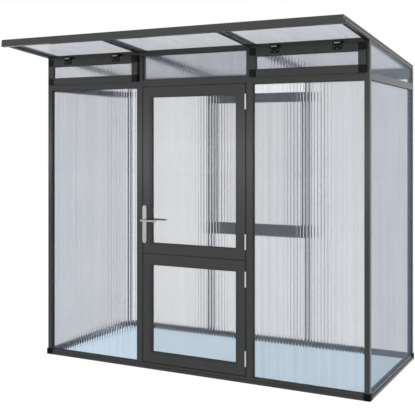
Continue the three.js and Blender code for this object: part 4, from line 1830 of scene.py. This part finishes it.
@dataclass
class FrameBars:
    """The CAD bars of the house, given their coat and their extruded edges."""

    finishes: Finishes
    edge: float = 0.0008

    def build(self) -> None:
        """Coats every bar, each along its own run."""
        runs = {
            Run.X: ["sill_front", "sill_back", "bay_rail_left", "bay_rail_right", "door_head",
                    "front_eaves_beam", "back_eaves_beam"],
            Run.Y: ["sill_left", "sill_right", "side_rail_left", "side_rail_right"],
            Run.Z: ["corner_post_front_left", "corner_post_front_right", "corner_post_back_left",
                    "corner_post_back_right", "door_post_left", "door_post_right",
                    "back_post_left", "back_post_right"],
        }
        for run, nodes in runs.items():
            for node in nodes:
                coats = self.finishes.sill_coat if node.startswith("sill") else self.finishes.coat
                self.dress(node, coats[run])
        self.dress("canopy_fascia", self.finishes.fascia_coat)

    def dress(self, node: str, finish: bpy.types.Material) -> None:
        """Gives a CAD node its finish and narrow bevels, with its mesh as it was.

        Args:
            node: The node's name.
            finish: Its material.
        """
        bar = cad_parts[node]
        bar.data.materials.clear()
        bar.data.materials.append(finish)
        weld = bar.modifiers.new("weld", "WELD")
        weld.merge_threshold = WELD
        bevel = bar.modifiers.new("edges", "BEVEL")
        bevel.width = self.edge
        bevel.segments = 2
        bevel.limit_method = "ANGLE"
        bevel.angle_limit = math.radians(SHARP_DEGREES)
        LOG.info("%s dressed", node)


@dataclass(frozen=True)
class Lamp:
    """A soft lamp that looks at a point."""

    name: str
    place: Triple
    target: Triple
    width: float
    height: float
    power: float

    def build(self) -> None:
        """Hangs the lamp, which the camera doesn't see."""
        data = bpy.data.lights.new(self.name, "AREA")
        data.shape = "RECTANGLE"
        data.size = self.width
        data.size_y = self.height
        data.energy = self.power
        lamp = bpy.data.objects.new(self.name, data)
        lamp.visible_camera = False
        bpy.context.scene.collection.objects.link(lamp)
        lamp.location = self.place
        way = Vector(self.target) - Vector(self.place)
        lamp.rotation_euler = way.to_track_quat("-Z", "Y").to_euler()


@dataclass
class Studio:
    """The camera at the photograph's view, the floor, the lamps and the surroundings."""

    eye: Triple = (2.6816, -5.2429, 1.6035)
    heading_degrees: float = 27.4658
    lens: float = 70.546
    frame_pixels: float = 415.0
    horizon_row: float = 142.809
    view_depth: float = 200.0
    floor_size: float = 60.0
    floor_colour: Triple = (0.95, 0.95, 0.95)
    floor_glow: float = 1.06
    white: Triple = (1.0, 1.0, 1.0)
    inside_middle: float = 0.261
    inside_half: tuple[float, float] = (1.235, 0.555)
    # painted bluish skylight inside the sills, in the floor's colour and in its glow
    painted_skylight_colour: Triple = (0.80, 0.95, 1.0)
    painted_skylight_glow: Triple = (0.66, 0.82, 0.95)
    inside_share: float = 0.45
    outside_share: float = 0.86
    world_light: float = 0.85
    lamps: tuple[Lamp, ...] = (
        Lamp("key", (4.5, -5.0, 5.5), (0.3, -0.2, 1.1), width=3.0, height=3.0, power=220.0),
        Lamp("side", (6.0, 1.5, 2.6), (0.8, 0.2, 1.1), width=3.0, height=3.0, power=90.0),
        Lamp("strip", (-2.9, -5.5, 1.42), (-2.9, 0.0, 1.42), width=8.0, height=0.45, power=43.0),
    )

    def build(self) -> None:
        """Makes the whole studio."""
        self._camera()
        self._world()
        self._floor()
        for lamp in self.lamps:
            lamp.build()

    def _camera(self) -> None:
        """Stands the camera at the photograph's place, level, with the lens shifted down."""
        data = bpy.data.cameras.new("camera")
        data.lens = self.lens
        data.shift_y = -(self.frame_pixels / 2 - self.horizon_row) / self.frame_pixels
        data.clip_end = self.view_depth
        camera = bpy.data.objects.new("camera", data)
        bpy.context.scene.collection.objects.link(camera)
        camera.location = self.eye
        camera.rotation_euler = (math.pi / 2, 0.0, math.radians(self.heading_degrees))
        bpy.context.scene.camera = camera

    def _world(self) -> None:
        """White surroundings to the eye and in reflections, a softer light on the object."""
        shade = Shade("surroundings", world=True)
        strength = self.world_light + shade.seen() * (1.0 - self.world_light)
        sockets = {"Color": self.white, "Strength": strength}
        background = shade.node("ShaderNodeBackground", {}, sockets)
        shade.tree.links.new(background.outputs[0], shade.output.inputs["Surface"])
        bpy.context.scene.world = shade.material

    def _floor(self) -> None:
        """A pale floor that still takes the house's shadow, with painted bluish skylight inside the
        sills.
        """
        Bench.clear_selection()
        bpy.ops.mesh.primitive_plane_add(size=self.floor_size)
        floor = bpy.context.object
        floor.name = "floor"
        shade = Shade("floor")
        inside = self._painted_skylight_mask(shade)
        # painted skylight: inside the sills the floor is tinted and glows pale blue
        colour = shade.mix(inside, self.floor_colour, self.painted_skylight_colour)
        matte = shade.node("ShaderNodeBsdfDiffuse", {}, {"Color": colour})
        tint = shade.mix(inside, self.white, self.painted_skylight_glow)
        glow = shade.node("ShaderNodeEmission", {}, {"Color": tint, "Strength": self.floor_glow})
        share = self.outside_share + inside * (self.inside_share - self.outside_share)
        mixed = shade.node("ShaderNodeMixShader", {},
                           {0: shade.seen() * share, 1: matte.outputs[0], 2: glow.outputs[0]})
        shade.tree.links.new(mixed.outputs[0], shade.output.inputs["Surface"])
        floor.data.materials.append(shade.material)

    def _painted_skylight_mask(self, shade: Shade) -> Value:
        """1 inside the sills, where the floor carries painted bluish skylight, and 0 outside them.

        Args:
            shade: The floor's material.

        Returns:
            The mask.
        """
        across = shade.math("ABSOLUTE", shade.axis(Run.X))
        along = shade.math("ABSOLUTE", shade.axis(Run.Y) - self.inside_middle)
        return (shade.math("LESS_THAN", across, self.inside_half[0])
                * shade.math("LESS_THAN", along, self.inside_half[1]))


def main() -> None:
    """Builds the studio and the greenhouse's looks in order."""
    logging.basicConfig(level=logging.INFO, format="%(message)s")
    bpy.context.scene.view_settings.view_transform = "Standard"
    finishes = Finishes()
    roof = RoofPlane()
    Studio().build()
    FrameBars(finishes).build()
    Glazing(finishes, roof).build()
    BackWindow().build(finishes, roof)
    DoorLeaf(Body.UPPER_LEAF, bottom_rail=0.075).build(finishes, roof)
    DoorLeaf(Body.LOWER_LEAF, bottom_rail=0.078).build(finishes, roof)
    for number in (1, 2, 3, 4):
        DoorHinge(number, Body.LOWER_LEAF if number < 3 else Body.UPPER_LEAF).build(finishes)
    HandleSet().build(finishes)
    Vent("left", Body.VENT_LEFT).build(finishes, roof)
    Vent("right", Body.VENT_RIGHT).build(finishes, roof)
    for side in ("left", "right"):
        for number in (1, 2):
            FrameBars(finishes).dress(f"vent_hinge_{side}_{number}", finishes.nylon)
    BaseCaps().build(finishes)
    for side in ("left", "right"):
        MiddleRafter(side).build(finishes, roof)
        OuterRafter(side).build(finishes, roof)
        SideRailRibs(side).build(finishes)


if __name__ == "__main__":
    main()
